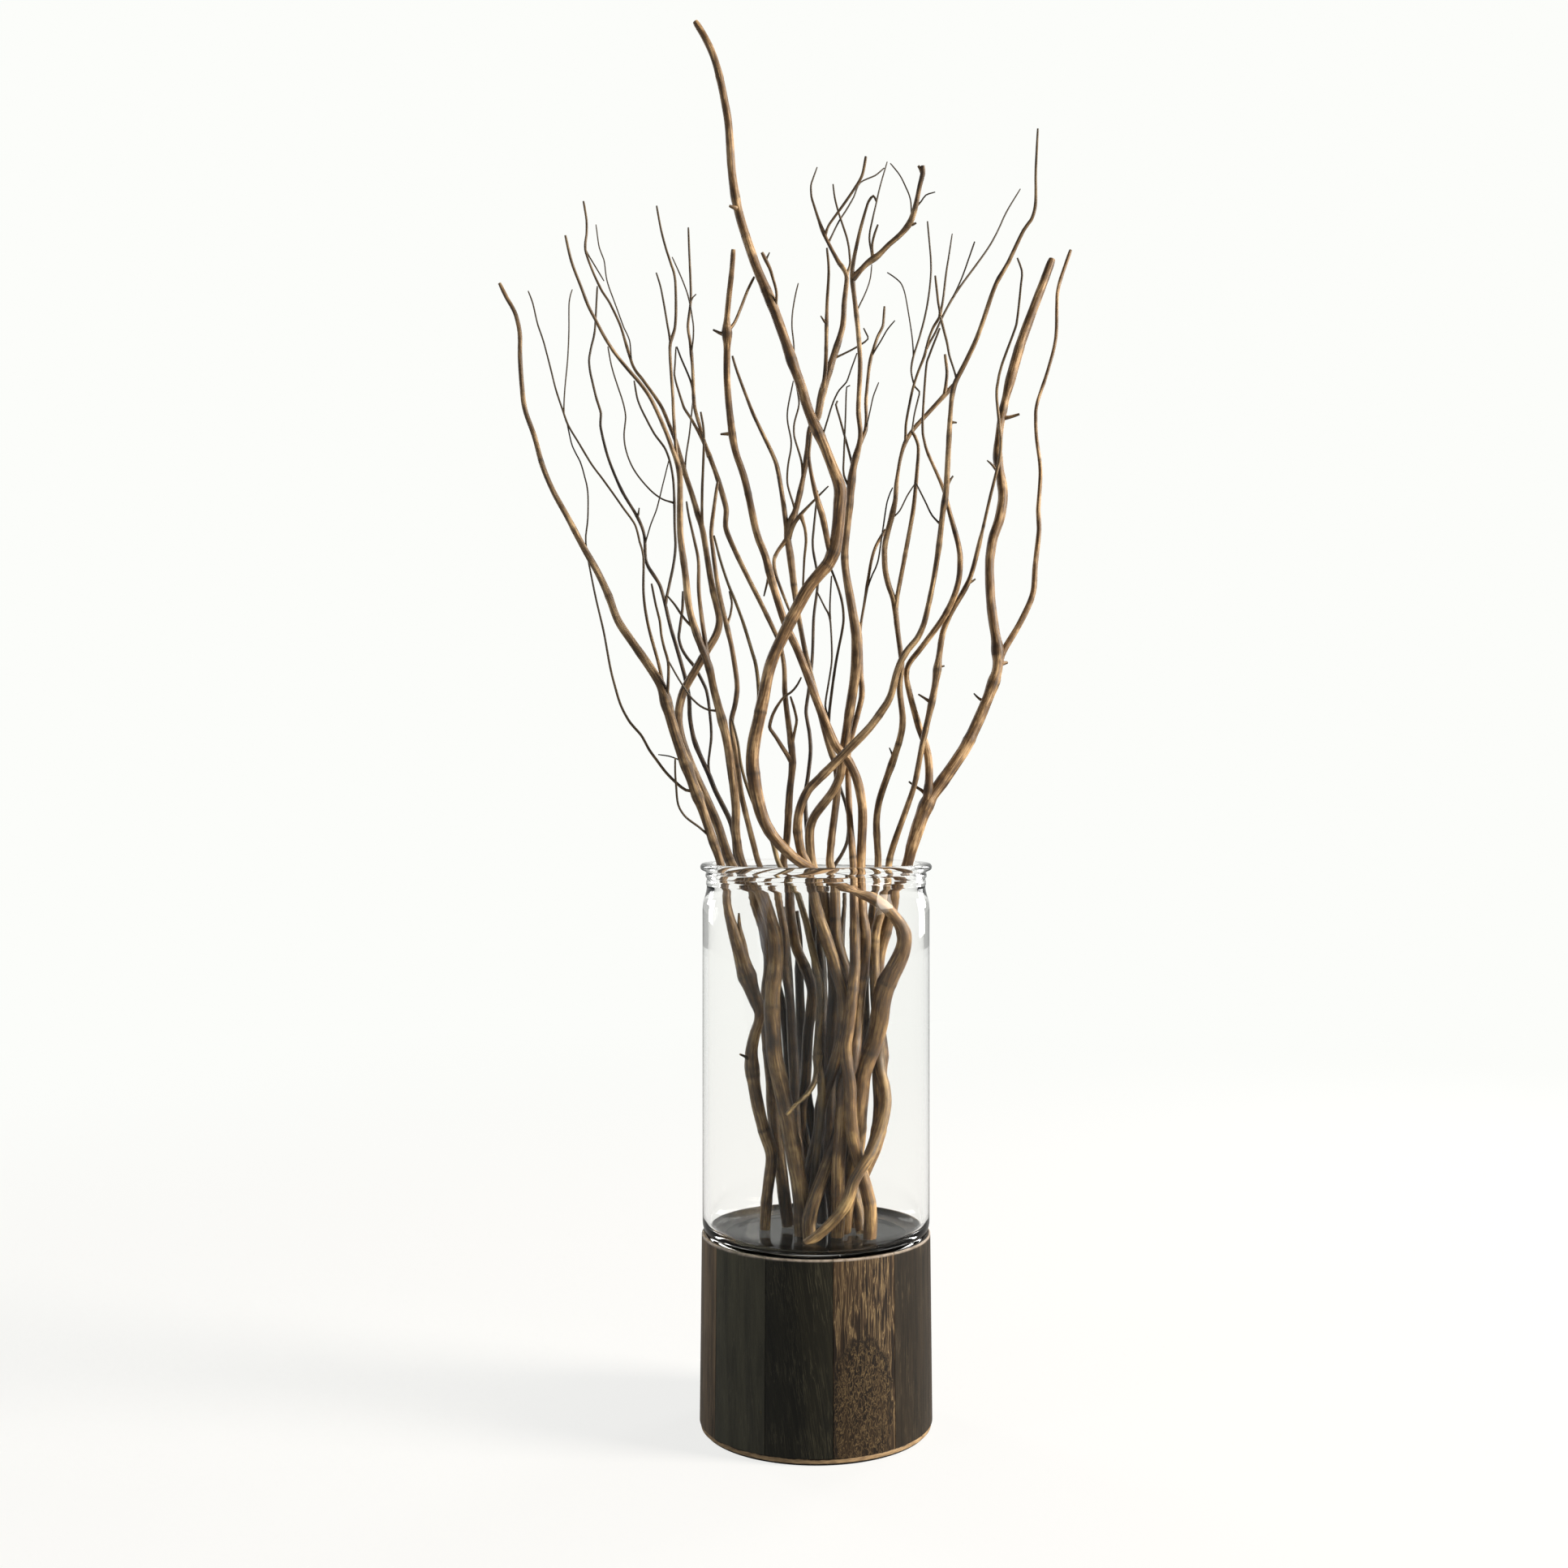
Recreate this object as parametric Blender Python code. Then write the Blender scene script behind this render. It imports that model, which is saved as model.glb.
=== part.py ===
"""Curly willow stems in a clear glass cylinder vase, which stands in the recess of a dark drum built of wooden staves.

Lengths in this file are millimetres until a mesh is made. The origin is the centre of the drum's foot, +Z is up, and
the front of the arrangement faces -Y. Each stem is drawn as it is seen from the front, (x, z) from foot to tip, with
its own depth along y. place() carries that drawing to real positions for an eye EYE_DISTANCE in front of the axis.
"""

import math

import bmesh
import bpy
import numpy as np
from mathutils import Matrix, Vector

MM = 0.001

# Clearance between touching pieces
SEAT_GAP = 0.3

# Drum of staves
STAVES = 11
STAVE_START_DEG = -24.7
DRUM_FOOT_R = 75.0
DRUM_TOP_R = 73.7
DRUM_TOP_Z = 125.0
DRUM_CORE_R = 60.0
RIM_WALL = 2.5
RECESS_DEPTH = 8.0
TOP_CHAMFER = 0.7
DECK_THICK = 9.0
FELT_R = 72.5
FELT_THICK = 1.2
BOARD_R = 74.2
BOARD_THICK = 3.0
ROUND_STEPS = 44

# Glass vase
GLASS_R = 73.2
GLASS_WALL = 3.5
GLASS_FLOOR_R = 54.0
GLASS_FLOOR = 8.5
HEEL_Z = 133.0
SHOULDER_Z = 335.0
NECK_R = 70.5
NECK_Z = 347.0
NECK_INNER_R = 67.2
RING_HEIGHTS = (350.0, 354.8)
RING_PROUD = (0.4, 0.9)
LIP_Z = 360.2
LIP_HIGH = 4.7
LIP_OUTER_R = 74.7
VASE_STEPS = 36

# The eye that the front drawing is made for
EYE_DISTANCE = 1180.0
EYE_HEIGHT = 413.5

# How the stems are made solid
SAMPLE_STEP = 5.0
STEM_CLEARANCE = 1.9
WALL_CLEARANCE = 1.6
LIP_CLEAR = 14.0
OPEN_AIR_R = 1000.0
CHORD_ERROR = 0.7
WIDTH_WEIGHT = 1.5
STEM_SIDES = 5
TWIG_SIDES = 3
THICK_TWIG = 3.2
THINNEST = 0.9
FOOT_BLEND = 40.0
EASE_STEPS = 1000
SMOOTH_STEPS = 850
PUSH_SHARE = 0.5
SMOOTH_SHARE = 0.25
CROSSING_REACH = 6
VASE_GIRTH = 1.4
GIRTH_HEIGHTS = (318.0, 358.0)

SEAT_Z = DRUM_TOP_Z - RECESS_DEPTH
GLASS_BOTTOM_Z = SEAT_Z + SEAT_GAP
GLASS_FLOOR_Z = GLASS_BOTTOM_Z + GLASS_FLOOR
FOOT_Z = GLASS_FLOOR_Z + SEAT_GAP

# Each stem: name, bark, route (x, z), widths (z, width), depths (z, y) and twigs. A twig is (route, widths from root
# to tip, lean), where lean is how far it moves back for each 100 mm of its length.
STEMS = []


def stem(name, bark, route, widths, depths, twigs=()):
    STEMS.append((name, bark, route, widths, depths, twigs))


stem(
    "stem_outer_left", "tan",
    [(-33, 126), (-32, 145), (-30.5, 158), (-29, 174), (-33, 188), (-36.5, 201), (-39, 213), (-41, 228),
     (-41.5, 242), (-39, 254), (-36.5, 265), (-41, 279), (-46, 294), (-50, 308), (-54, 322), (-57.5, 336),
     (-59.5, 350), (-62, 363), (-67, 378), (-72, 393), (-78, 409), (-83, 423), (-88, 437), (-92.5, 451),
     (-96.5, 465), (-100, 477), (-108, 490), (-118, 504), (-128, 519), (-134, 535), (-141, 550), (-150, 566),
     (-160, 585), (-170, 603), (-177, 620), (-182, 638), (-188, 655), (-190, 670), (-191.3, 690),
     (-191.5, 705), (-194.5, 718), (-199.5, 727), (-204.5, 737)],
    [(126, 5), (228, 6), (242, 6), (265, 4.6), (294, 8), (336, 4.6), (365, 5), (423, 7), (470, 6.5), (505, 5.4),
     (550, 4.6), (600, 3.6), (690, 3), (737, 2.6)],
    [(126, 0), (200, -8), (265, -14), (330, -6), (365, 0), (450, -6), (550, -14), (650, -10), (740, 0)],
    [([(-44, 296), (-47, 310), (-49.3, 321), (-49.8, 331)], (5, 3, 1.2), 20),
     ([(-42, 235), (-45, 237), (-49, 239)], (1.6, 1.1), -20),
     ([(-98, 473), (-101, 488), (-105, 503), (-107.5, 512), (-110, 524), (-111.5, 538), (-111.5, 560),
       (-114, 570), (-117, 581), (-124, 591), (-131, 601), (-139, 612), (-145, 620), (-154, 635), (-160, 645),
       (-163, 653), (-168, 668), (-171, 680), (-176, 699), (-180, 711), (-183, 724), (-186, 732)],
      (2.4, 1.5, 1.3, 1), 22),
     ([(-162, 652), (-162.7, 662), (-162, 672), (-160.5, 688), (-159.7, 705), (-159.5, 725), (-157.5, 733)],
      (1, 0.9), 20),
     ([(-96, 466), (-95.5, 480), (-95.5, 492), (-98, 501), (-100, 510), (-101, 519), (-103.5, 529),
       (-106.3, 543)], (2.2, 1.5), -24),
     ([(-78, 409), (-84, 409.5), (-90, 414), (-97, 421), (-103, 429), (-108, 436), (-113, 445), (-120, 453),
       (-126, 464), (-130, 477), (-133, 489), (-137, 511), (-140, 524), (-143, 537), (-147.5, 560),
       (-148.8, 572), (-147.5, 585), (-147.5, 602), (-149.5, 612), (-152.5, 622), (-157.5, 632), (-161.2, 648)],
      (2, 1.6, 1.2, 0.9), 14),
     ([(-66, 376), (-76, 386), (-84, 392), (-89, 400), (-90.3, 411), (-91, 421), (-91, 430)], (1.6, 1.3), -25),
     ([(-85, 428), (-95, 431.5), (-102, 432.5)], (1, 0.9), 15)])

stem(
    "stem_left_curved", "brown",
    [(-18, 126), (-20.5, 145), (-22, 160), (-24, 175), (-26.5, 190), (-28, 205), (-28.5, 220), (-30, 235),
     (-31.5, 250), (-32, 265), (-31.5, 280), (-30, 295), (-30.5, 310), (-34, 325), (-40, 338), (-48, 350),
     (-55, 362), (-59, 373), (-64, 388), (-69.5, 401), (-75, 413), (-80, 424), (-84, 434), (-87.5, 445),
     (-89, 455), (-88, 465), (-85, 475), (-79, 485.5), (-74, 494), (-69, 502), (-64.5, 510), (-62.5, 518),
     (-63.5, 526), (-66, 536), (-68, 546), (-71.5, 567), (-73.5, 578), (-76.5, 588), (-80, 600), (-86, 618),
     (-88, 626), (-91, 636), (-95, 646), (-99.5, 656.5), (-105, 665), (-113, 676), (-118, 683), (-123.5, 700),
     (-127, 711), (-134, 725.5), (-138, 731.5), (-144, 744), (-149, 758.5), (-148.3, 768), (-148.3, 778),
     (-150.3, 790)],
    [(126, 6), (300, 6), (362, 6.2), (450, 5.5), (500, 5), (540, 4), (600, 3.6), (640, 2.5), (700, 1.7), (790, 1.5)],
    [(126, 8), (220, 4), (300, 12), (365, 20), (450, 32), (550, 46), (650, 60), (790, 85)],
    [([(-119.5, 689), (-120.5, 700), (-124, 708), (-129.5, 723), (-135, 738.5), (-137, 752), (-140, 760),
       (-142.2, 775)], (1, 0.9), -18),
     ([(-148.5, 757.5), (-143, 748.5), (-137, 738.5)], (1, 0.9), 14),
     ([(-85, 616), (-84, 625), (-82, 638), (-81, 647), (-79.5, 662)], (1.3, 1.1), 20),
     ([(-73.5, 577), (-73.7, 590), (-73.5, 605), (-73, 618), (-72.5, 640), (-74.5, 654)], (2, 1.5), -16)])

stem(
    "stem_left_leader", "tan",
    [(-9, 122), (-9, 137), (-10, 150), (-12.5, 165), (-15, 180), (-17.5, 194), (-20.5, 208), (-23.5, 222),
     (-26.5, 237), (-27.5, 250), (-28.5, 265), (-28, 280), (-26, 295), (-26, 310), (-29, 325), (-34, 338),
     (-42, 350), (-48, 362), (-51, 374), (-52, 386), (-51.7, 396), (-52.5, 406), (-55.5, 428), (-57.5, 441),
     (-60, 452), (-66, 474), (-68, 484), (-70.5, 493), (-77, 510), (-82, 527), (-84.5, 550), (-87.5, 572),
     (-88, 585), (-88, 612), (-90, 622), (-93, 630), (-97, 641), (-106, 661), (-113, 671.5), (-122, 682),
     (-130, 692), (-137, 703), (-142.5, 713.5), (-147, 722), (-152, 735), (-158, 751), (-162, 768)],
    [(122, 8), (300, 7.5), (362, 5.8), (450, 5.5), (500, 4.6), (550, 4.5), (600, 4), (640, 2.8), (700, 2.2),
     (768, 1.8)],
    [(122, -16), (200, -22), (290, -20), (365, -22), (450, -34), (550, -50), (650, -64), (770, -84)],
    [([(-89, 617), (-90.5, 630), (-92, 652), (-92.6, 665), (-94.3, 690), (-94, 699), (-91.7, 706), (-90.6, 716),
       (-91, 739), (-93.2, 748), (-96.5, 758), (-100, 771), (-103, 787)], (2.4, 2, 1.4), 12),
     ([(-94, 699), (-96, 710), (-98, 722), (-100.5, 735), (-103.3, 744)], (1.5, 1.2), -20),
     ([(-70.5, 494), (-72, 508), (-73.5, 518), (-75.7, 538), (-76, 557), (-78, 568), (-82.3, 587), (-83.7, 596)],
      (3.4, 2.4, 1.4), 16),
     ([(-62, 459), (-70, 461.5), (-75, 464), (-80, 468.5), (-85, 475.5), (-90, 483.5), (-95, 492.5)],
      (1.5, 1.2), -22),
     ([(-78, 513), (-83, 518), (-87, 523), (-91, 529), (-96, 535)], (1.9, 1.3), -15)])

stem(
    "stem_dark_slender", "dark",
    [(-6, 126), (-6, 140), (-8, 160), (-11, 180), (-15, 205), (-18, 230), (-20, 255), (-24, 280), (-32, 305),
     (-36, 325), (-44, 345), (-51, 362), (-53, 380), (-56, 391), (-65, 409), (-69, 419), (-77, 437), (-80, 447),
     (-81.7, 458), (-82, 468), (-84, 480), (-89, 498), (-94, 515), (-97.5, 530), (-101, 542), (-106, 550),
     (-110, 558), (-111, 574), (-115.5, 586), (-125, 602), (-132, 618), (-136, 630), (-139.3, 645),
     (-139, 653), (-142, 663), (-146, 680), (-146.7, 687), (-145, 697), (-143, 706), (-141.7, 728), (-141.3, 735)],
    [(126, 4), (362, 3.6), (450, 2.8), (540, 2.2), (640, 1.7), (735, 1.3)],
    [(126, 14), (220, 20), (300, 28), (365, 36), (450, 54), (550, 76), (650, 98), (735, 112)],
    [([(-98, 532), (-94, 546), (-92, 556), (-90.8, 567), (-91.3, 580), (-91.5, 595), (-92.3, 610), (-94.5, 622),
       (-98, 631), (-104, 639), (-110, 650), (-115, 661), (-117.5, 674)], (2, 1.7, 1.3), 14),
     ([(-91.4, 592.5), (-98, 597), (-105, 601.5), (-113, 610), (-119, 619), (-123, 630), (-124, 640),
       (-123, 651), (-125, 661), (-128, 670), (-132, 683), (-134.5, 696)], (1.2, 1), 10),
     ([(-111, 571), (-106.5, 582), (-103, 591), (-99, 607), (-95, 623)], (1, 0.9), -18),
     ([(-69.5, 420), (-69.5, 428), (-68, 440), (-67.8, 450), (-70, 470), (-72.5, 478), (-79, 490),
       (-83.5, 495.5), (-87, 501.5), (-88.7, 508), (-86.3, 527), (-86, 538)], (1.5, 2.2, 1.8), 12),
     ([(-115.5, 585), (-114.8, 588), (-114.3, 592)], (1.3, 1), -20)])

stem(
    "stem_slim_left", "brown",
    [(-9, 126), (-9, 158), (-11, 175), (-13, 195), (-14, 215), (-16, 255), (-17, 275), (-20, 295), (-20, 310),
     (-21.5, 325), (-25, 338), (-31, 350), (-37, 362), (-40, 373), (-46.5, 399), (-49, 411), (-52, 434),
     (-54, 446), (-54.7, 455), (-52.8, 463), (-51.3, 472), (-51.3, 481), (-54.3, 501), (-59, 521), (-63.7, 543),
     (-67, 567), (-67.7, 577), (-66.5, 588), (-64, 606), (-63.5, 609)],
    [(126, 4.6), (362, 3.8), (480, 3.3), (540, 3), (590, 2.6), (609, 2)],
    [(126, 20), (220, 16), (300, 6), (365, 8), (450, 10), (609, 10)],
    [([(-58, 516), (-55.3, 523), (-54.3, 530), (-56, 538)], (1.8, 1.4), 25)])

stem(
    "stem_hooked", "olive",
    [(-3, 124), (-3, 140), (-1.5, 155), (0, 172), (2, 190), (3.5, 205), (3, 222), (1, 238), (1.5, 252),
     (2.5, 266), (2.7, 278), (1.5, 290), (-4, 314), (-7, 327), (-11, 338), (-17, 350), (-24, 362), (-28, 376),
     (-34, 392), (-38, 410), (-40, 430), (-39, 450), (-37, 470), (-38.5, 488), (-41, 498), (-47, 517.5),
     (-53, 533.5), (-56.5, 542), (-61.5, 557), (-66, 574)],
    [(124, 4), (362, 3.4), (430, 3), (500, 2.4), (574, 1.6)],
    [(124, -6), (172, -20), (220, -38), (300, -34), (365, -30), (410, -22), (450, -14), (574, -5)],
    [([(1, 240), (0.5, 228), (-1.5, 220), (-6, 213), (-12.5, 207), (-19, 200)], (3.4, 2.6, 1.7), -12),
     ([(-35, 394), (-38, 397), (-41.5, 404), (-46.5, 418), (-49, 429), (-50.5, 440), (-54.5, 456)],
      (3, 2, 1.3), -10)])

stem(
    "stem_mid_left", "brown",
    [(-6, 126), (-6, 138), (-7.5, 150), (-9.5, 180), (-10, 195), (-9, 208), (-7, 222), (-5.5, 250), (-3.5, 266),
     (-2.5, 280), (-5.5, 291), (-9.5, 301), (-13.5, 312), (-17.5, 338), (-18, 350), (-21, 362), (-19, 378),
     (-17, 408), (-15.5, 422), (-15.5, 434), (-19, 462), (-20.3, 475), (-20.5, 487), (-22, 498), (-25, 508),
     (-35, 529), (-45, 549), (-55, 570), (-58.5, 580), (-58, 590), (-60, 599), (-65, 615), (-73, 635),
     (-81, 650), (-85, 656), (-90.5, 673), (-91.5, 678), (-91, 686), (-90.5, 696)],
    [(126, 5.5), (362, 5), (400, 5), (450, 4), (500, 3), (560, 3.4), (600, 3.8), (640, 2.2), (696, 1)],
    [(126, 26), (220, 32), (300, 28), (365, 32), (450, 30), (560, 36), (640, 48), (770, 70)],
    [([(-69, 626), (-73, 637), (-75.5, 646), (-78, 655), (-79, 663), (-79.8, 682), (-81.5, 700), (-82.8, 709),
       (-81.2, 723), (-80.9, 732), (-82, 760), (-82.5, 773)], (2.6, 2, 1.3), 14),
     ([(-80.5, 691), (-79.3, 702), (-79.2, 709), (-81.5, 724), (-84, 733), (-88, 743), (-93, 754)], (1.1, 0.9), -16),
     ([(-79.2, 664), (-80.5, 672), (-83.5, 680), (-87, 688), (-90, 696)], (1.5, 1.2), 22),
     ([(-81, 725), (-79.5, 728), (-77.5, 730)], (1.1, 0.9), 10),
     ([(-16, 427), (-21, 436), (-26, 444), (-30, 450.5), (-28.5, 457), (-25, 464), (-21, 469.5), (-16, 473),
       (-12.5, 477), (-9.5, 482.5)], (3, 2.2, 1.3), -22),
     ([(-16, 437), (-12.5, 455), (-14, 462), (-16.5, 470)], (2.2, 1.6), -25)])

stem(
    "stem_front_loop", "light",
    [(18, 124), (19, 138), (21, 150), (24, 165), (26.5, 180), (27.5, 198), (28.5, 212), (30, 226), (33.5, 238),
     (37.5, 249), (40.5, 262), (42.5, 275), (45.5, 285), (50, 294), (54.5, 304), (56.5, 314), (54, 323),
     (47, 332), (38, 338), (27, 342.5), (16, 348), (6, 353.5), (-4, 359), (-12, 364), (-20, 371), (-28, 380),
     (-34, 391), (-38, 405), (-41, 425), (-40, 440), (-37, 455), (-34, 470), (-31, 485), (-27, 497),
     (-20, 512), (-13, 526), (-5, 540), (3, 550), (8, 556), (12, 566), (14, 578), (15, 590), (15.5, 604),
     (11, 617), (7.5, 626), (3.5, 636), (-4.5, 654), (-10.5, 673), (-14.5, 684), (-18.5, 696), (-26.5, 718),
     (-30, 727), (-35, 739), (-39.5, 750), (-47, 772), (-51.5, 790), (-54.5, 810), (-56, 832), (-57, 843),
     (-59, 854), (-61.5, 866), (-64.5, 878), (-68, 888), (-73, 898), (-78, 906)],
    [(124, 7), (210, 8), (238, 9), (295, 9), (314, 7), (334, 5.6), (364, 6.5), (405, 8.4), (425, 8.8), (485, 7.6),
     (526, 8), (554, 8), (600, 8.4), (617, 6.6), (720, 6.4), (800, 5.4), (906, 4.5)],
    [(124, -8), (200, -20), (262, -30), (290, -32), (314, -32), (332, -44), (343, -54), (358, -58), (380, -58),
     (425, -56), (485, -50), (526, -46), (556, -40), (590, -38), (645, -40), (718, -42), (832, -36), (906, -24)],
    [([(-50, 784), (-52, 785.5), (-56, 787)], (2.6, 2), -15),
     ([(-27, 719), (-25.5, 730), (-27.5, 739), (-30, 747), (-32.5, 752), (-35, 757)], (1.7, 2, 2.4), -25),
     ([(-32.5, 751), (-31.5, 754), (-30, 757)], (1.2, 0.9), -10),
     ([(-14.5, 684), (-14.3, 697), (-15.5, 708), (-15.2, 718), (-13.4, 729), (-11.5, 737)], (1.1, 1), 24),
     ([(10, 560), (8, 568), (6, 578), (4, 587), (-1, 604), (-4.5, 623), (-4, 633), (-3.5, 641)],
      (3.6, 4.4, 2.6, 1.3), -22),
     ([(3, 638), (7.5, 649), (11, 660), (15, 668), (19.5, 673), (22.5, 681), (26.5, 692)], (1.3, 1), -18)])

stem(
    "stem_upper_right", "tan",
    [(-4, 124), (-4.5, 137), (-5, 153), (-3.5, 168), (1.5, 188), (2.5, 200), (4.5, 211), (12, 233), (15, 244),
     (17, 256), (18, 268), (17, 279), (14, 290), (10.5, 302), (2.5, 326), (-1, 338), (-4, 350), (-6, 362),
     (-9, 368), (-11, 376), (-12, 385), (-11, 395), (-8, 404), (-4, 411), (1, 416), (13, 428), (31, 446),
     (37, 453), (42, 460), (46, 466), (49, 473), (51.5, 483), (55, 493), (60, 501), (65, 507), (68.5, 514),
     (71, 522), (75.5, 543), (79, 565), (82, 590), (84, 602), (85.5, 630), (87, 655), (88, 665), (90, 673),
     (95, 683), (100, 693), (104, 702), (108, 713), (114, 731), (118, 740), (124, 750), (134, 771), (139, 778),
     (141.5, 786), (142, 795), (142, 810), (143.3, 837)],
    [(124, 5.5), (362, 6), (416, 6), (460, 5.6), (500, 4.6), (550, 3.5), (620, 4), (660, 3), (690, 3.3), (760, 2.8),
     (800, 1.9), (837, 1.5)],
    [(124, -6), (170, -12), (230, -26), (300, -38), (350, -42), (385, -42), (430, -46), (470, -46), (520, -46),
     (600, -52), (700, -62), (837, -74)],
    [([(79.5, 580), (75, 587), (71, 595), (67, 603), (64.5, 608)], (1.3, 1.1), 16),
     ([(86.5, 647), (88.5, 647.2), (91, 647)], (1.6, 1.2), -10),
     ([(84.5, 607), (86.5, 609.5), (88.5, 612.5)], (2, 1.4), -10),
     ([(90, 671), (90.5, 676), (88.5, 683), (86, 691), (84.8, 698), (82.5, 707), (80.5, 715)], (1.3, 1.6, 2), -12)])

stem(
    "stem_crown", "brown",
    [(12.5, 128), (12, 140), (10, 160), (9, 200), (10, 240), (12, 280), (11, 300), (8, 320), (5, 338), (1, 350),
     (-2.5, 362), (-4, 374), (-4, 385), (-1, 393), (5, 401), (11, 409), (15.5, 419), (17, 430), (21, 455),
     (25, 482), (26, 496), (26, 510), (24, 522), (19.5, 548), (18.5, 560), (19, 570), (21.5, 594), (24, 617),
     (28.5, 637), (27.3, 655), (28.3, 677), (28.3, 690), (26.5, 713), (23.5, 740), (24, 750), (27, 765),
     (30, 777), (34, 790), (37, 793.5), (39, 790)],
    [(128, 7), (400, 6), (450, 6), (510, 7), (560, 5), (600, 5), (620, 5), (645, 3.2), (740, 3), (765, 2.4),
     (793, 1.6)],
    [(128, 10), (200, 14), (300, 10), (365, 14), (400, 4), (450, -10), (500, -14), (560, -16), (620, -20),
     (700, -26), (813, -40)],
    [([(24, 742), (33, 750), (40, 755), (47, 762), (54, 768), (60, 775), (63, 782), (65, 790), (67, 800),
       (69, 808), (69, 813)], (3.4, 3.4, 2.8), -14),
     ([(62, 780), (61, 791), (58, 799), (54, 807), (48, 814.5)], (1.1, 0.9), 20),
     ([(65.5, 786), (68, 790), (71, 794), (77, 796)], (1.1, 0.9), -15),
     ([(61, 774), (62.5, 775), (64.8, 776)], (1.8, 1.4), -10),
     ([(68.5, 808), (67.5, 811), (66, 813)], (2.2, 1.8), -10),
     ([(36, 752), (36.3, 762), (38, 769.5), (40, 775)], (1.9, 1.5), -25),
     ([(35.5, 752), (34.5, 766), (36, 776), (38.5, 787), (41.5, 800), (46, 815.5)], (1.5, 0.9), 22),
     ([(26.5, 720), (32, 731), (35, 740), (36, 749)], (1, 0.9), 22),
     ([(28, 634), (32, 642), (32.5, 652), (32.3, 662), (34.5, 684), (37, 694), (40, 703), (43, 709),
       (44.2, 722)], (2.4, 2.2, 1.7), 18),
     ([(32.5, 643), (35, 655), (37, 664), (40.5, 673)], (1, 0.9), -20),
     ([(36, 688), (42, 700), (46, 707), (51, 713)], (1.1, 0.9), -20),
     ([(24.5, 617), (20.5, 631), (15, 651), (12.8, 658.5), (13.8, 661)], (1.8, 1.4), 16),
     ([(19, 606), (18, 613), (18, 626), (19, 650), (19.8, 670), (22, 671)], (1.5, 1), -22)])

stem(
    "stem_centre_back", "brown",
    [(-4, 122), (-4.5, 132), (-2, 143), (2, 154), (6.5, 166), (11, 178), (15, 190), (17, 200), (16.5, 213),
     (18.5, 238), (20.5, 250), (21.5, 265), (20, 290), (17, 300), (14, 312), (12.5, 325), (12, 350), (9, 362),
     (10, 377), (13.5, 408), (13, 425), (8, 440), (-4, 486), (-8, 504), (-12.8, 531), (-17, 563), (-18.3, 572),
     (-17, 578), (-12, 595), (-7, 618), (-5, 632), (-3.5, 643), (1, 651), (3, 662), (7.5, 678), (15.5, 703),
     (17.5, 712), (18.3, 725), (19.7, 742), (15, 750), (10, 759), (3.5, 773), (-3, 793), (-3.3, 800),
     (0.7, 812)],
    [(122, 6.5), (300, 5.4), (450, 4.5), (500, 3.2), (550, 5), (600, 3.2), (650, 5.4), (665, 5), (710, 3.6),
     (742, 2.8), (770, 2), (812, 1)],
    [(122, -18), (154, -20), (200, -10), (260, 2), (310, 8), (365, 22), (425, 26), (486, 22), (541, 18),
     (572, 18), (632, 20), (665, 24), (745, 44), (812, 58)],
    [([(-18, 573), (-19.5, 582), (-21, 594), (-24.5, 615), (-27.5, 625), (-37, 645), (-42, 656), (-51, 680),
       (-54, 690)], (3.6, 2.8, 1.7), 18),
     ([(19.6, 741), (22, 750), (21.5, 757), (20, 766), (14.5, 783), (12, 793), (11, 801)], (1.7, 1.2), 20),
     ([(6, 768), (8, 774), (15, 784), (20, 791), (26, 800), (30, 807.5), (32.2, 819)], (1.6, 2), -14),
     ([(8, 763), (14.5, 776.5), (19, 783.5), (24.5, 793), (28.5, 802), (38, 806.5), (44, 811.5)],
      (1.2, 1), 24),
     ([(3.5, 665), (6, 681), (6.6, 695), (7, 722), (8.2, 745), (7, 760)], (3, 2.4, 1.6), -20),
     ([(6.7, 708), (5, 713), (3, 716)], (1.5, 1.1), 10),
     ([(10.5, 687), (17, 691), (23, 694), (29, 697.5), (33.5, 701), (30.7, 708)], (1.4, 1.1), 22),
     ([(-18.5, 572), (-14.5, 581), (-10, 587.5), (-0.5, 597.5), (4, 602), (8, 606)], (3.2, 2, 1.1), -18),
     ([(-10.5, 590), (-7.3, 579), (-6.5, 570), (-7.5, 560), (-8.5, 540)], (2.4, 1.8, 1.3), 24),
     ([(-18.5, 571), (-23, 566.5), (-27, 559), (-26.5, 551), (-24, 543), (-17, 525)], (2.8, 2.2, 1.8), -16),
     ([(-13.5, 590), (-15.5, 597), (-18.5, 608), (-18, 620), (-16, 634), (-18.6, 652), (-14.7, 674)],
      (1.5, 1), -20),
     ([(-8, 610), (-9.5, 622), (-14.2, 639), (-13.5, 649), (-11, 659), (-12.7, 671)], (1.6, 1.2), 18)])

stem(
    "stem_light_short", "light",
    [(34.5, 119), (35, 136), (33.5, 146), (30.5, 158), (27.5, 170), (24.5, 182), (22.7, 194), (22, 205),
     (22, 218), (20.5, 230), (19, 243), (21, 257), (24.5, 288), (25, 305), (24.5, 345), (24, 362), (21.5, 395),
     (20.5, 425), (21.5, 437), (24, 448), (29.5, 470), (29, 482), (28.2, 506), (27, 518)],
    [(119, 6.2), (220, 6), (300, 5), (362, 4.8), (430, 3.6), (470, 3.8), (518, 3)],
    [(119, -28), (170, -34), (205, -38), (243, -34), (300, -22), (345, -10), (362, -6), (410, -2), (450, 2),
     (518, 6)],
    [([(28, 506), (29.3, 519), (31, 529), (34.2, 549), (36, 559), (39, 568), (45, 578)], (1.7, 2, 2.2), 20),
     ([(33, 540), (36.5, 549), (40, 557.5), (43, 577), (46, 596), (49.5, 605)], (1.2, 1), -10)])

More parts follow.
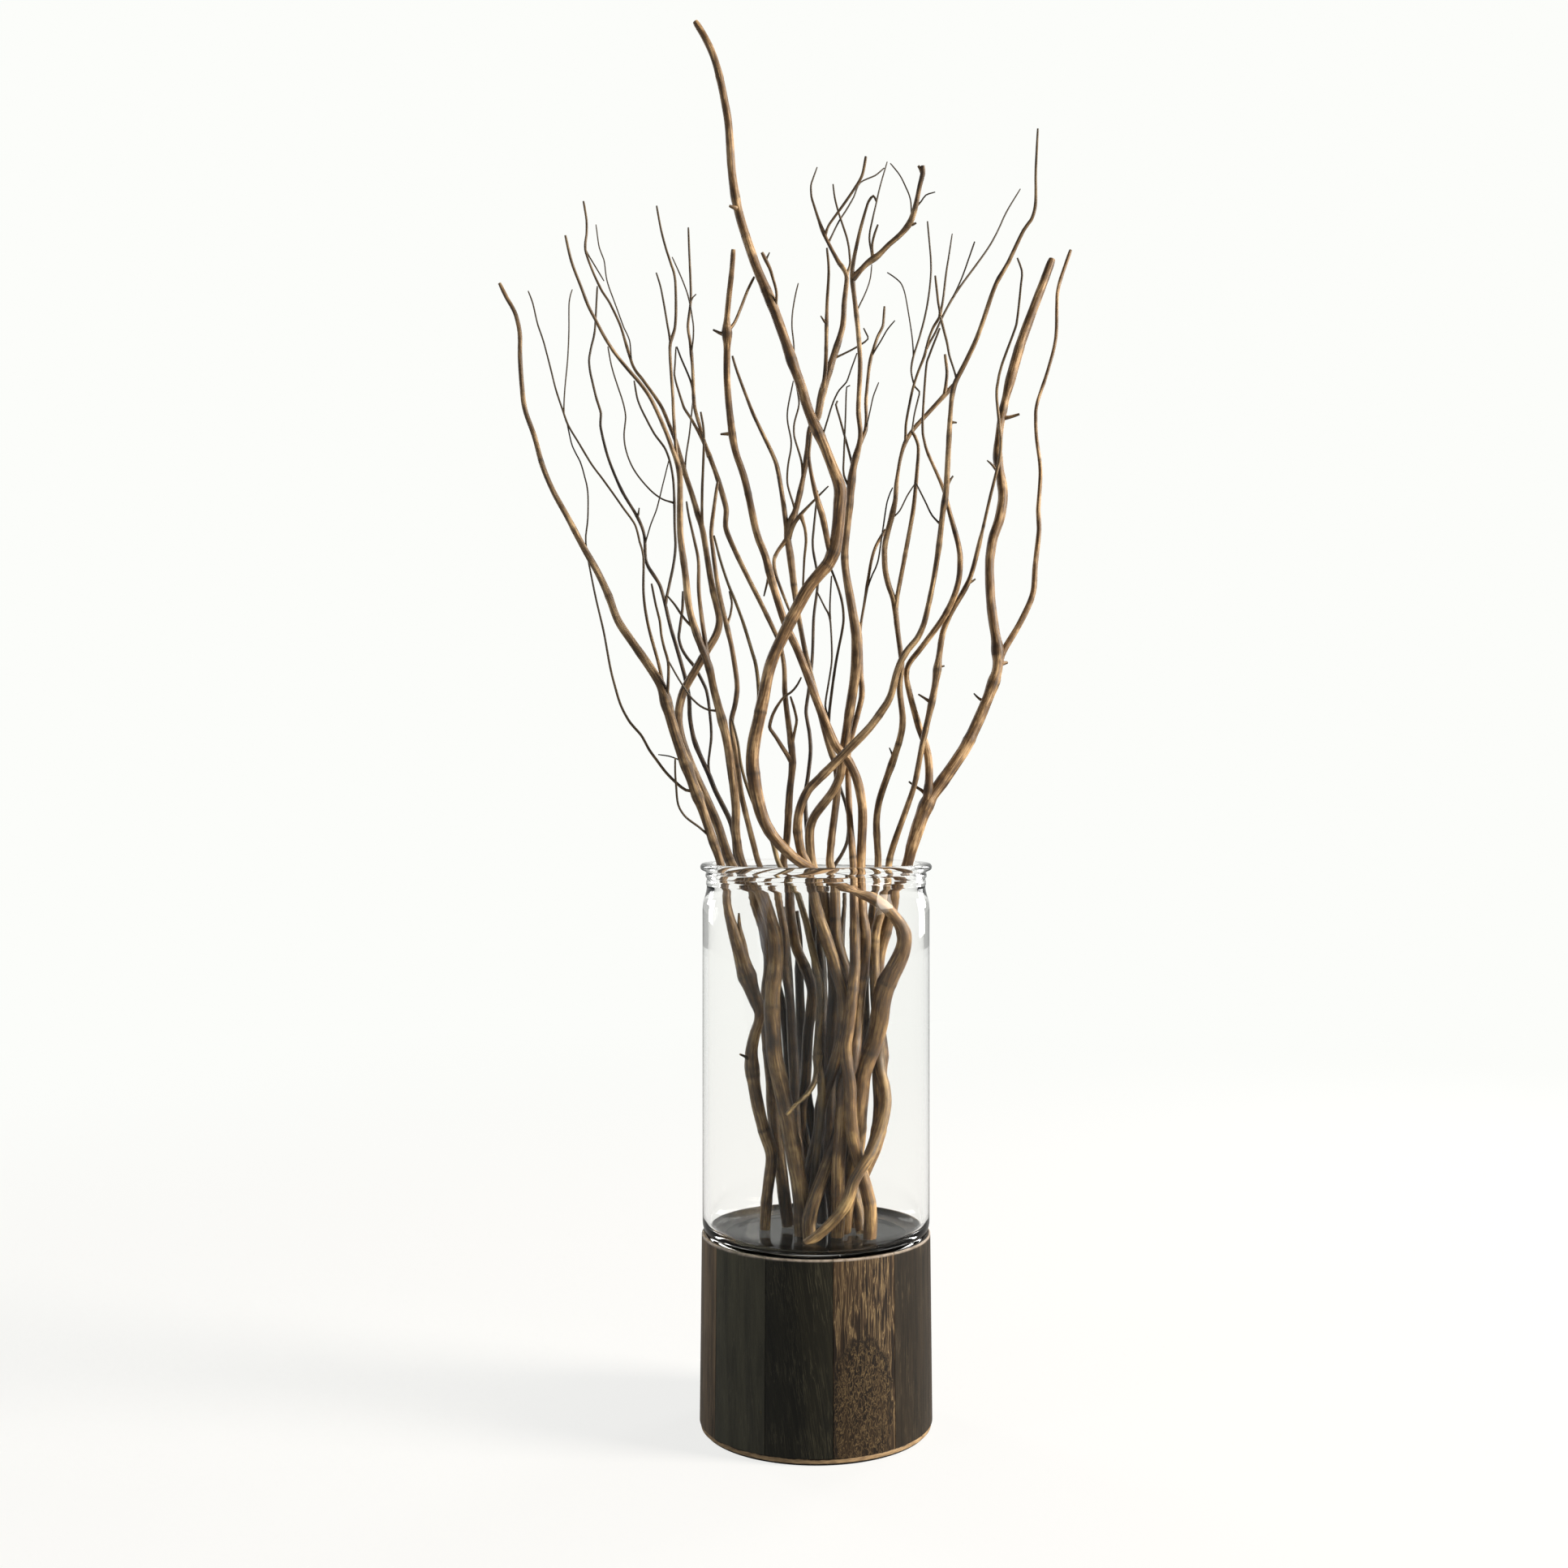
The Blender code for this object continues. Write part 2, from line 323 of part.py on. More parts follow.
stem(
    "stem_knotted", "light",
    [(13.5, 122), (14, 135), (14.5, 165), (15.5, 180), (17.5, 207), (18.5, 220), (22.5, 232), (25, 245),
     (27.5, 275), (31, 305), (31, 320), (29, 335), (29, 362), (30, 392), (29, 405), (26, 418), (20, 430),
     (13, 438), (3, 461), (-5, 482), (-12.5, 501), (-20.5, 519), (-27.5, 541), (-32.5, 560), (-35.5, 568),
     (-39, 578), (-46, 610), (-52.5, 630), (-55.5, 650), (-57.5, 675), (-57.5, 700), (-57.5, 715), (-54.5, 745),
     (-53.5, 759)],
    [(122, 6.5), (362, 6), (420, 6), (500, 5), (600, 4.6), (694, 4.4), (704, 5.6), (714, 3.8), (759, 3.2)],
    [(122, -14), (165, -22), (220, -24), (275, -20), (335, -24), (378, -28), (430, -24), (470, -14), (530, -10),
     (600, -20), (700, -44), (759, -62)],
    [([(-57.5, 703), (-61, 704.5), (-66.5, 707)], (2.4, 2, 1.6), -10),
     ([(-57, 703), (-53, 711), (-49, 720), (-44, 733), (-40, 741)], (2.1, 1.8), 20),
     ([(-55.3, 640), (-58, 639.7), (-61.5, 639.5)], (2.2, 1.7), -10),
     ([(-30, 552), (-31.5, 544), (-33.7, 535)], (1.8, 1.3), 15)])

stem(
    "stem_forked_right", "brown",
    [(29.5, 123), (28, 135), (25.5, 147), (23, 160), (22, 172), (23, 185), (26, 197), (30, 222), (32, 250),
     (31, 280), (32, 295), (35.5, 325), (38, 340), (40, 362), (39.5, 375), (39, 388), (40, 398), (42.5, 408),
     (49.5, 428), (52.5, 437), (55, 446), (56, 456), (54, 474), (54.5, 483), (55.3, 492), (52.8, 512),
     (50.5, 531), (47.5, 540), (45, 550), (44.3, 560), (44.8, 570), (49.5, 589), (51.3, 598), (52, 608),
     (54.5, 624), (58, 635), (64, 644), (70, 650.5), (86, 668), (90, 673)],
    [(123, 5.5), (362, 4.6), (400, 4.5), (450, 4.4), (500, 3.4), (540, 3.8), (575, 3.8), (600, 3), (612, 2.3),
     (640, 2.6), (660, 3), (673, 2.4)],
    [(123, -12), (185, 6), (250, 22), (325, 24), (375, 20), (430, 10), (480, -4), (531, -2), (600, 10),
     (673, 24)],
    [([(51, 529), (54, 543), (56.5, 556), (61.5, 583), (63.5, 597), (66, 625), (66, 632), (64, 638), (62, 641)],
      (3, 3, 2), 8),
     ([(57, 633), (58, 645), (60, 657), (62.5, 669), (66, 680), (70, 690), (72.5, 700), (76, 709), (80, 716),
       (79, 724), (77, 742)], (1.8, 1.7, 1.6), -14),
     ([(80, 716), (82, 726), (84, 743), (86, 756), (88, 769)], (1.7, 1.4, 0.9), 20),
     ([(71.5, 695), (77, 705), (82, 716), (88, 727), (94, 736), (110, 758), (117, 770), (123, 783), (132, 798)],
      (1.6, 1.4, 0.9), 20),
     ([(89, 729), (94, 740), (98, 751), (102.5, 764)], (1, 1.1), -18),
     ([(61.5, 641), (63.5, 652), (66.8, 667), (64, 670), (61.5, 680), (63, 690), (66.5, 701), (70, 714),
       (72.5, 727), (74, 740), (74.2, 752), (72, 777)], (1.1, 1.4, 1.2), 18),
     ([(63, 688), (62.3, 700), (60.8, 711), (57, 732), (53, 739), (46, 744)], (1, 0.9), 22),
     ([(50.8, 427), (49, 433), (47.3, 437)], (1.6, 1), -12),
     ([(50, 582), (54, 590), (58.5, 599), (63.5, 607)], (1.1, 1), 20),
     ([(84, 666), (84, 672), (84.6, 680), (83.3, 691)], (2.3, 2), 14)])

stem(
    "stem_far_right_slim", "tan",
    [(-7, 116), (0, 121), (8, 128), (16, 137), (21, 146), (24, 156), (29, 165), (35, 174), (40, 186),
     (43.5, 198), (45, 209), (43.5, 221), (41, 232), (40, 262), (38, 290), (38, 315), (42, 332), (46, 347),
     (47, 362), (50, 374), (60, 402), (64, 415), (69, 440), (75.5, 470), (78, 485), (80, 500), (82, 512),
     (87, 524), (93, 534), (98, 543), (101.5, 553), (107, 575), (113, 601), (116, 613), (118.5, 624),
     (119.5, 635), (118.5, 645), (116.7, 664), (117.5, 673), (120, 684), (128, 706), (130, 714), (132.5, 737),
     (133, 745), (130, 753.5)],
    [(116, 4.6), (147, 5.4), (262, 5), (362, 4.5), (415, 3.6), (455, 4), (484, 4.6), (489, 5.4), (494, 4.2),
     (530, 3.6), (550, 3), (574, 3.2), (580, 2.1), (640, 2.1), (700, 1.7), (753, 1.4)],
    [(116, -40), (137, -42), (156, -40), (186, -26), (209, -12), (245, 4), (290, 10), (330, 6), (362, 4),
     (415, 0), (440, 4), (485, 6), (550, 6), (600, 6), (640, 4), (753, -18)],
    [([(74, 467), (70, 469), (66, 471.5)], (2, 1.4), -10),
     ([(78.5, 489), (80.5, 489.3), (83, 489.8)], (1.7, 1.2), -10),
     ([(99.5, 543), (101, 544.5), (103, 546)], (1.6, 1.2), -10)])

stem(
    "stem_right_leader", "light",
    [(24, 125), (25, 140), (28, 155), (33, 168), (38, 180), (41, 192), (42, 205), (41, 228), (42.5, 240),
     (40, 265), (39, 280), (40, 295), (42, 310), (50, 338), (54, 350), (59, 362), (61.5, 372), (65, 383),
     (69, 394), (74, 405), (80, 413), (92, 430), (98, 440), (107.5, 461), (115, 480), (117.5, 491), (117, 502),
     (113.5, 527), (112, 552), (112.7, 563), (114.5, 573), (118, 583), (120, 593), (120.5, 603), (117.5, 624),
     (118, 636), (121, 656), (130, 691), (133.5, 702), (141, 722), (152.5, 752.5)],
    [(125, 6), (192, 7.4), (217, 7.4), (250, 6), (350, 6.5), (372, 9.4), (394, 9), (413, 8.4), (450, 7.6),
     (491, 6.6), (540, 6), (575, 6.8), (603, 6), (636, 5), (656, 5), (670, 7), (700, 6.6), (752, 5.4)],
    [(125, -2), (160, 8), (200, 8), (240, 16), (300, 22), (350, 14), (394, 16), (450, 26), (491, 34), (575, 44),
     (620, 50), (680, 60), (752, 74)],
    [([(67, 388), (70, 396), (72, 406), (73, 418), (72.5, 430), (70, 441), (66.5, 450), (61, 470), (58.5, 483),
       (60, 491), (66, 499), (76, 512), (83, 522), (88.5, 533), (92, 545), (93, 557), (92, 568), (86, 590),
       (82.5, 603.5), (75.5, 620), (72, 628), (69.8, 636), (68.8, 647), (71, 681), (73, 690), (80, 708)],
      (5.6, 5, 3.4, 4, 3.6, 2.2, 1.6, 1.4), -8),
     ([(117.5, 488), (121, 499), (131, 516), (139, 533), (141, 543), (141.5, 553), (144, 578), (143.5, 590),
       (145, 615), (142.5, 637), (142, 650), (143, 660), (149.5, 680), (154.8, 701), (155.6, 724), (157, 736),
       (164.5, 758.5)], (4.6, 3.6, 2.4, 2.2, 2.4), 16),
     ([(72, 405), (68, 409.5), (64, 412), (60, 415)], (2.4, 1.4), -10),
     ([(108.5, 464), (105, 469), (102, 472)], (2, 1.1), -10),
     ([(117.5, 616), (113.5, 620), (110.5, 622.6)], (2.4, 1.1), -10),
     ([(119.5, 648), (125, 650.5), (131.5, 652.5)], (2.4, 1.8), -10),
     ([(118, 491), (120.5, 491.5), (123.5, 492)], (3, 2.2), -10)])

stem(
    "stem_inner_dark", "dark",
    [(4, 130), (3, 165), (3, 190), (5, 240), (4, 290), (2.5, 312), (3, 330), (5.5, 340), (8, 350), (11.5, 360),
     (16, 367), (20, 376), (21, 388), (19.5, 399), (14, 417), (9, 440), (8, 452), (10, 472), (13, 493),
     (16.8, 512), (17.8, 521), (16.8, 531), (14, 541), (9.5, 553)],
    [(130, 5), (300, 4.4), (345, 3), (376, 2.2), (452, 2), (553, 1.6)],
    [(130, 16), (200, 34), (330, 40), (376, 38), (440, 24), (553, -14)],
    [([(8, 455), (6, 464), (8.5, 481), (10, 491), (10.2, 501), (9, 520), (6, 527), (0.5, 538)], (1.4, 1.2), 22),
     ([(9, 518), (9, 530), (10, 548)], (1.2, 1.1), -20),
     ([(3, 168), (-1, 184), (-5, 206), (-8, 232), (-10, 262), (-11, 290), (-11, 314), (-12.5, 332)],
      (4.4, 5, 4.6, 4, 2.4), 6),
     ([(5, 238), (9.5, 256), (13, 278), (14.5, 300), (12.5, 322), (9, 338)], (4, 4.4, 3.6, 2.4), 8)])


stem(
    "stem_back_centre", "dark",
    [(3, 128), (3.5, 155), (4, 180), (5, 210), (4, 240), (2, 270), (0, 300), (-2, 330), (-4, 362), (-6, 385),
     (-7, 405), (-5, 420), (-3.5, 435), (-4.5, 448), (-6.5, 460), (-5, 472), (-2.5, 495), (-1.5, 521),
     (0.5, 537), (1, 548), (-2, 566), (-1.5, 578), (1, 603)],
    [(128, 5.4), (300, 4.6), (362, 3), (450, 2.4), (540, 1.8), (603, 1.4)],
    [(128, 22), (200, 40), (330, 50), (400, 56), (500, 70), (603, 88)],
    [([(3.5, 152), (-1, 166), (-6, 184), (-10.5, 206), (-14, 232), (-16.5, 262), (-18, 290), (-19.5, 314),
       (-21.5, 334)], (5, 5.6, 5.2, 4.4, 2.6), 10),
     ([(4.5, 172), (10, 190), (14.5, 212), (17, 240), (17.5, 268), (16, 296), (17, 322), (19, 338)],
      (4.6, 5, 4.6, 3.8, 2.2), 8)])


def inner_radius(z):
    """Inside radius of the glass at height z; above the lip nothing holds a stem in."""
    if z > LIP_Z + LIP_CLEAR:
        return OPEN_AIR_R
    return NECK_INNER_R if z > SHOULDER_Z - 6.0 else GLASS_R - GLASS_WALL


def through(points, step):
    """Samples, step apart, of one smooth curve through the points."""
    ends = np.array([2 * np.array(points[0]) - points[1], *points, 2 * np.array(points[-1]) - points[-2]], float)
    samples = []
    for a, b, c, d in zip(ends, ends[1:], ends[2:], ends[3:]):
        count = max(1, round(float(np.linalg.norm(c - b)) / step))
        for i in range(count):
            t = i / count
            cubic = 2 * b + (c - a) * t + (2 * a - 5 * b + 4 * c - d) * t**2 + (3 * b - a - 3 * c + d) * t**3
            samples.append(cubic / 2)
    samples.append(ends[-2])
    return np.array(samples)


def along(values, count):
    """Widths spread evenly over a twig, read at each of its samples."""
    return np.interp(np.linspace(0, 1, count), np.linspace(0, 1, len(values)), values)


def girth(heights):
    """How much thicker the older wood inside the glass is; it tapers to the drawn width at the lip."""
    return np.interp(heights, GIRTH_HEIGHTS, (VASE_GIRTH, 1.0))


def drawn_lines():
    """Every stem and twig as samples of the front drawing: its node, x and z, radii, depths and where it is rooted."""
    lines = []
    for name, bark, route, widths, depths, twigs in STEMS:
        flat = through(route, SAMPLE_STEP)
        radius = np.interp(flat[:, 1], *zip(*widths)) / 2 * girth(flat[:, 1])
        depth = np.interp(flat[:, 1], *zip(*depths))
        own = [dict(node=name, bark=bark, flat=flat, radius=radius, depth=depth, root=None)]
        for twig_route, twig_widths, lean in twigs:
            start = np.array(twig_route[0], float)
            host = min(own, key=lambda line: np.linalg.norm(line["flat"] - start, axis=1).min())
            at = int(np.linalg.norm(host["flat"] - start, axis=1).argmin())
            flat = through([tuple(host["flat"][at]), *twig_route[1:]], SAMPLE_STEP)
            gone = np.append(0, np.cumsum(np.linalg.norm(np.diff(flat, axis=0), axis=1)))
            depth = host["depth"][at] + lean * gone / 100
            radius = np.maximum(along(twig_widths, len(flat)), THINNEST) / 2 * girth(flat[:, 1])
            own.append(dict(node=name, bark=bark, flat=flat, radius=radius, depth=depth, root=(host, at)))
        lines += own
    return lines


def crossings(node_of, line_of, flat, radius):
    """Pairs of samples of different nodes that the front drawing shows closer than they may be."""
    order = np.argsort(flat[:, 1])
    heights = flat[order, 1]
    reach = 2 * radius.max() + STEM_CLEARANCE
    one, two = [], []
    for k, i in enumerate(order):
        last = np.searchsorted(heights, heights[k] + reach)
        near = order[k + 1 : last]
        near = near[node_of[near] != node_of[i]]
        apart = np.linalg.norm(flat[near] - flat[i], axis=1)
        near = near[apart < radius[near] + radius[i] + STEM_CLEARANCE]
        one += [i] * len(near)
        two += list(near)
    one, two = np.array(one), np.array(two)
    swap = line_of[one] > line_of[two]
    return np.where(swap, two, one), np.where(swap, one, two)


def front_to_back(one, two, line_of, depth):
    """Which way round each crossing lies, one sign for each stretch where two lines cover each other."""
    sign = np.zeros(len(one))
    key = line_of[one] * (line_of.max() + 1) + line_of[two]
    for k in np.unique(key):
        members = np.where(key == k)[0]
        members = members[np.argsort(one[members])]
        cuts = np.where(np.diff(one[members]) > CROSSING_REACH)[0] + 1
        for stretch in np.split(members, cuts):
            sign[stretch] = 1 if (depth[two[stretch]] - depth[one[stretch]]).sum() >= 0 else -1
    return sign


def ease_apart(lines):
    """Moves the lines in depth alone, smoothly, until no two nodes touch and all of them stay inside the glass."""
    counts = [len(line["flat"]) for line in lines]
    first = np.append(0, np.cumsum(counts))
    names = [line["node"] for line in lines]
    node_of = np.concatenate([[names.index(name)] * n for name, n in zip(names, counts)])
    line_of = np.concatenate([[k] * n for k, n in enumerate(counts)])
    flat = np.concatenate([line["flat"] for line in lines])
    radius = np.concatenate([line["radius"] for line in lines])
    depth = np.concatenate([line["depth"] for line in lines])
    one, two = crossings(node_of, line_of, flat, radius)
    apart = np.linalg.norm(flat[one] - flat[two], axis=1)
    need = np.sqrt((radius[one] + radius[two] + STEM_CLEARANCE) ** 2 - apart**2)
    sign = front_to_back(one, two, line_of, depth)
    room = np.array([inner_radius(z) for z in flat[:, 1]]) - radius - WALL_CLEARANCE
    room = np.sqrt(np.maximum(room**2 - flat[:, 0] ** 2, 0))
    starts = {id(line): first[k] for k, line in enumerate(lines)}
    rooted = [(first[k], starts[id(line["root"][0])] + line["root"][1]) for k, line in enumerate(lines) if line["root"]]
    roots, hosts = np.array(rooted).T
    for turn in range(EASE_STEPS):
        short = np.maximum(need - sign * (depth[two] - depth[one]), 0) * sign
        push = np.bincount(two, short, len(depth)) - np.bincount(one, short, len(depth))
        touches = np.bincount(two, short != 0, len(depth)) + np.bincount(one, short != 0, len(depth))
        depth += PUSH_SHARE * push / np.maximum(touches, 1)
        if turn < SMOOTH_STEPS:
            for a, b in zip(first, first[1:]):
                inner = depth[a + 1 : b - 1]
                inner += SMOOTH_SHARE * (depth[a : b - 2] + depth[a + 2 : b] - 2 * inner)
        depth = np.clip(depth, -room, room)
        depth[roots] = depth[hosts]
    for k, line in enumerate(lines):
        line["depth"] = depth[first[k] : first[k + 1]]


def place(flat, depth):
    """Real positions of samples of the front drawing at their depths."""
    scale = (EYE_DISTANCE + depth) / EYE_DISTANCE
    x = flat[:, 0] * scale
    z = EYE_HEIGHT + (flat[:, 1] - EYE_HEIGHT) * scale
    return np.stack([x, depth, z], axis=1)


def stand_on_floor(points):
    """Lowers or lifts a stem's lowest stretch so that its foot stands on the glass floor."""
    climb = points[:, 2] - points[0, 2]
    share = np.clip(1 - climb / FOOT_BLEND, 0, 1)
    points[:, 2] += (FOOT_Z - points[0, 2]) * share**2
    return points


def needed(points, radius, error):
    """Samples that keep the line within error of the full one."""
    keep = {0, len(points) - 1}
    spans = [(0, len(points) - 1)]
    while spans:
        a, b = spans.pop()
        if b - a < 2:
            continue
        run = points[b] - points[a]
        rest = points[a + 1 : b] - points[a]
        share = np.clip(rest @ run / (run @ run), 0, 1)
        off = np.linalg.norm(rest - share[:, None] * run, axis=1)
        straight = radius[a] + share * (radius[b] - radius[a])
        off = np.maximum(off, WIDTH_WEIGHT * abs(radius[a + 1 : b] - straight))
        worst = int(off.argmax())
        if off[worst] > error:
            middle = a + 1 + worst
            keep.add(middle)
            spans += [(a, middle), (middle, b)]
    return sorted(keep)


def tube(name, points, radius, sides, flat_foot):
    """A closed tube along the points: a ring around each of them, capped at both ends."""
    bm = bmesh.new()
    points = [Vector(p) * MM for p in points]
    ways = [(b - a).normalized() for a, b in zip(points, points[1:])]
    across = ways[0].orthogonal()
    swell = math.sqrt(2 * math.pi / (sides * math.sin(2 * math.pi / sides)))
    rings = []
    for k, point in enumerate(points):
        way = (ways[max(k - 1, 0)] + ways[min(k, len(ways) - 1)]).normalized()
        across = (across - across.dot(way) * way).normalized()
        turn = Matrix((across, way.cross(across), way)).transposed().to_4x4()
        ring = bmesh.ops.create_circle(
            bm,
            segments=sides,
            radius=radius[k] * swell * MM,
            matrix=Matrix.Translation(point) @ turn,
            cap_ends=k in (0, len(points) - 1),
        )["verts"]
        if flat_foot and k == 0:
            for corner in ring:
                corner.co -= way * ((corner.co.z - point.z) / way.z)
        if rings:
            for i, corner in enumerate(ring):
                bm.faces.new((rings[-1][i - 1], rings[-1][i], corner, ring[i - 1]))
        rings.append(ring)
    bmesh.ops.recalc_face_normals(bm, faces=bm.faces)
    mesh = bpy.data.meshes.new(name)
    bm.to_mesh(mesh)
    bm.free()
    return bpy.data.objects.new(name, mesh)


def build_stems(materials):
    """One object for each stem, with its own twigs joined to it by a union."""
    lines = drawn_lines()
    ease_apart(lines)
    scene = bpy.context.scene.collection
    for name in dict.fromkeys(line["node"] for line in lines):
        own = [line for line in lines if line["node"] == name]
        twigs = bpy.data.collections.new(name + "_twigs")
        scene.children.link(twigs)
        for k, line in enumerate(own):
            points = place(line["flat"], line["depth"])
            radius = line["radius"] * (EYE_DISTANCE + line["depth"]) / EYE_DISTANCE
            if k == 0:
                points = stand_on_floor(points)
            else:
                host, at = line["root"]
                points[0] = place(host["flat"], host["depth"])[at]
            keep = needed(points, radius, CHORD_ERROR)
            sides = STEM_SIDES if k == 0 or line["radius"].max() * 2 > THICK_TWIG else TWIG_SIDES
            piece = tube(name if k == 0 else f"{name}_twig_{k}", points[keep], radius[keep], sides, k == 0)
            (scene if k == 0 else twigs).objects.link(piece)
            if k == 0:
                trunk = piece
        if len(own) > 1:
            join = trunk.modifiers.new("join_twigs", "BOOLEAN")
            join.operation = "UNION"
            join.operand_type = "COLLECTION"
            join.collection = twigs
            join.solver = "MANIFOLD"
            bpy.context.view_layer.update()
            joined = bpy.data.meshes.new_from_object(trunk.evaluated_get(bpy.context.evaluated_depsgraph_get()))
            trunk.modifiers.clear()
            trunk.data = joined
        for piece in list(twigs.objects):
            bpy.data.objects.remove(piece, do_unlink=True)
        bpy.data.collections.remove(twigs)
        trunk.data.materials.clear()
        trunk.data.materials.append(materials[own[0]["bark"]])


def finish(name, bm, material, smooth_deg=None):
    bmesh.ops.remove_doubles(bm, verts=bm.verts, dist=1e-6)
    bmesh.ops.recalc_face_normals(bm, faces=bm.faces)
    mesh = bpy.data.meshes.new(name)
    bm.to_mesh(mesh)
    bm.free()
    mesh.materials.append(material)
    if smooth_deg is not None:
        mesh.shade_smooth()
        mesh.set_sharp_from_angle(angle=math.radians(smooth_deg))
    piece = bpy.data.objects.new(name, mesh)
    bpy.context.scene.collection.objects.link(piece)
    return piece


def outline(bm, profile):
    """A closed outline in the plane y = 0, as one face, from (radius, height) points in millimetres."""
    corners = [bm.verts.new((r * MM, 0, z * MM)) for r, z in profile]
    return bm.faces.new(corners)


def turned(name, profile, steps, material, smooth_deg=40):
    """A solid of revolution from an open profile that starts and ends on the axis."""
    bm = bmesh.new()
    corners = [bm.verts.new((r * MM, 0, z * MM)) for r, z in profile]
    edges = [bm.edges.new(pair) for pair in zip(corners, corners[1:])]
    bmesh.ops.spin(
        bm, geom=corners + edges, cent=(0, 0, 0), axis=(0, 0, 1), angle=2 * math.pi, steps=steps, use_merge=True
    )
    return finish(name, bm, material, smooth_deg)


def arc(centre_r, centre_z, half_r, half_z, start_deg, end_deg, count):
    """Points of an ellipse's arc, from start_deg to end_deg counted from +r towards +z."""
    turns = [math.radians(start_deg + (end_deg - start_deg) * k / count) for k in range(count + 1)]
    return [(centre_r + half_r * math.cos(t), centre_z + half_z * math.sin(t)) for t in turns]


def build_staves(materials):
    """The drum's wall: staves side by side, each cut back at the top for the recess that takes the vase."""
    foot_z = FELT_THICK + BOARD_THICK + 2 * SEAT_GAP
    recess_r = DRUM_TOP_R - RIM_WALL
    profile = [
        (DRUM_CORE_R, foot_z),
        (DRUM_FOOT_R, foot_z),
        (DRUM_TOP_R, DRUM_TOP_Z - TOP_CHAMFER),
        (DRUM_TOP_R - TOP_CHAMFER, DRUM_TOP_Z),
        (recess_r, DRUM_TOP_Z),
        (recess_r, SEAT_Z),
        (DRUM_CORE_R, SEAT_Z),
    ]
    pitch = 2 * math.pi / STAVES
    joint = SEAT_GAP / DRUM_CORE_R
    tones = ("stave_black", "stave_burl", "stave_grey", "stave_dark", "stave_brown", "stave_black", "stave_grey",
             "stave_burl", "stave_dark", "stave_brown", "stave_green")
    for k in range(STAVES):
        bm = bmesh.new()
        face = outline(bm, profile)
        start = math.radians(STAVE_START_DEG - 90) + pitch * k + joint / 2
        bmesh.ops.rotate(bm, verts=bm.verts, cent=(0, 0, 0), matrix=Matrix.Rotation(start, 3, "Z"))
        steps = ROUND_STEPS // STAVES
        bmesh.ops.spin(
            bm, geom=[face], cent=(0, 0, 0), axis=(0, 0, 1), angle=pitch - joint, steps=steps, use_duplicate=False
        )
        bmesh.ops.holes_fill(bm, edges=[edge for edge in bm.edges if edge.is_boundary])
        finish(f"stave_{k + 1:02d}", bm, materials[tones[k]], 25)


def build_drum(materials):
    build_staves(materials)
    deck_r = DRUM_CORE_R - SEAT_GAP
    board_z = FELT_THICK + SEAT_GAP
    deck = [(0, SEAT_Z - DECK_THICK), (deck_r, SEAT_Z - DECK_THICK), (deck_r, SEAT_Z), (0, SEAT_Z)]
    board = [(0, board_z), (BOARD_R, board_z), (BOARD_R, board_z + BOARD_THICK), (0, board_z + BOARD_THICK)]
    felt = [(0, 0), (FELT_R, 0), (FELT_R, FELT_THICK), (0, FELT_THICK)]
    turned("drum_deck", deck, ROUND_STEPS, materials["recess_black"])
    turned("bottom_board", board, ROUND_STEPS, materials["board_tan"])
    turned("felt_pad", felt, ROUND_STEPS, materials["felt"])


def build_vase(materials):
    """Blown and turned cylinder: flat thick floor, round heel, straight wall, shoulder, two rings and a rolled lip."""
    heel_r = GLASS_R - GLASS_FLOOR_R
    outside = [(0, GLASS_BOTTOM_Z)]
    outside += arc(GLASS_FLOOR_R, HEEL_Z, heel_r, HEEL_Z - GLASS_BOTTOM_Z, -90, 0, 6)
    outside += [(GLASS_R, SHOULDER_Z), (NECK_R + 1.0, SHOULDER_Z + 7), (NECK_R, NECK_Z)]
    for height, proud in zip(RING_HEIGHTS, RING_PROUD):
        outside += [(NECK_R, height - 1.6), (NECK_R + proud, height), (NECK_R, height + 1.6)]
    lip_r = LIP_OUTER_R - LIP_HIGH / 2
    outside += arc(lip_r, LIP_Z, LIP_HIGH / 2, LIP_HIGH / 2, -90, 90, 6)
    inner_r = GLASS_R - GLASS_WALL
    inside = [(NECK_INNER_R, LIP_Z + LIP_HIGH / 2 - 1.2), (NECK_INNER_R, NECK_Z - 4), (inner_r, SHOULDER_Z - 3)]
    inside += arc(inner_r - 12, GLASS_FLOOR_Z + 10, 12, 10, 0, -90, 4)
    inside += [(0, GLASS_FLOOR_Z)]
    turned("vase", outside + inside, VASE_STEPS, materials["glass"], 50)


def shader(name, colour, roughness, transmission=0.0, ior=None):
    material = bpy.data.materials.new(name)
    material.use_nodes = True
    surface = material.node_tree.nodes["Principled BSDF"]
    surface.inputs["Base Color"].default_value = (*colour, 1.0)
    surface.inputs["Roughness"].default_value = roughness
    surface.inputs["Metallic"].default_value = 0.0
    surface.inputs["Transmission Weight"].default_value = transmission
    if ior:
        surface.inputs["IOR"].default_value = ior
    return material


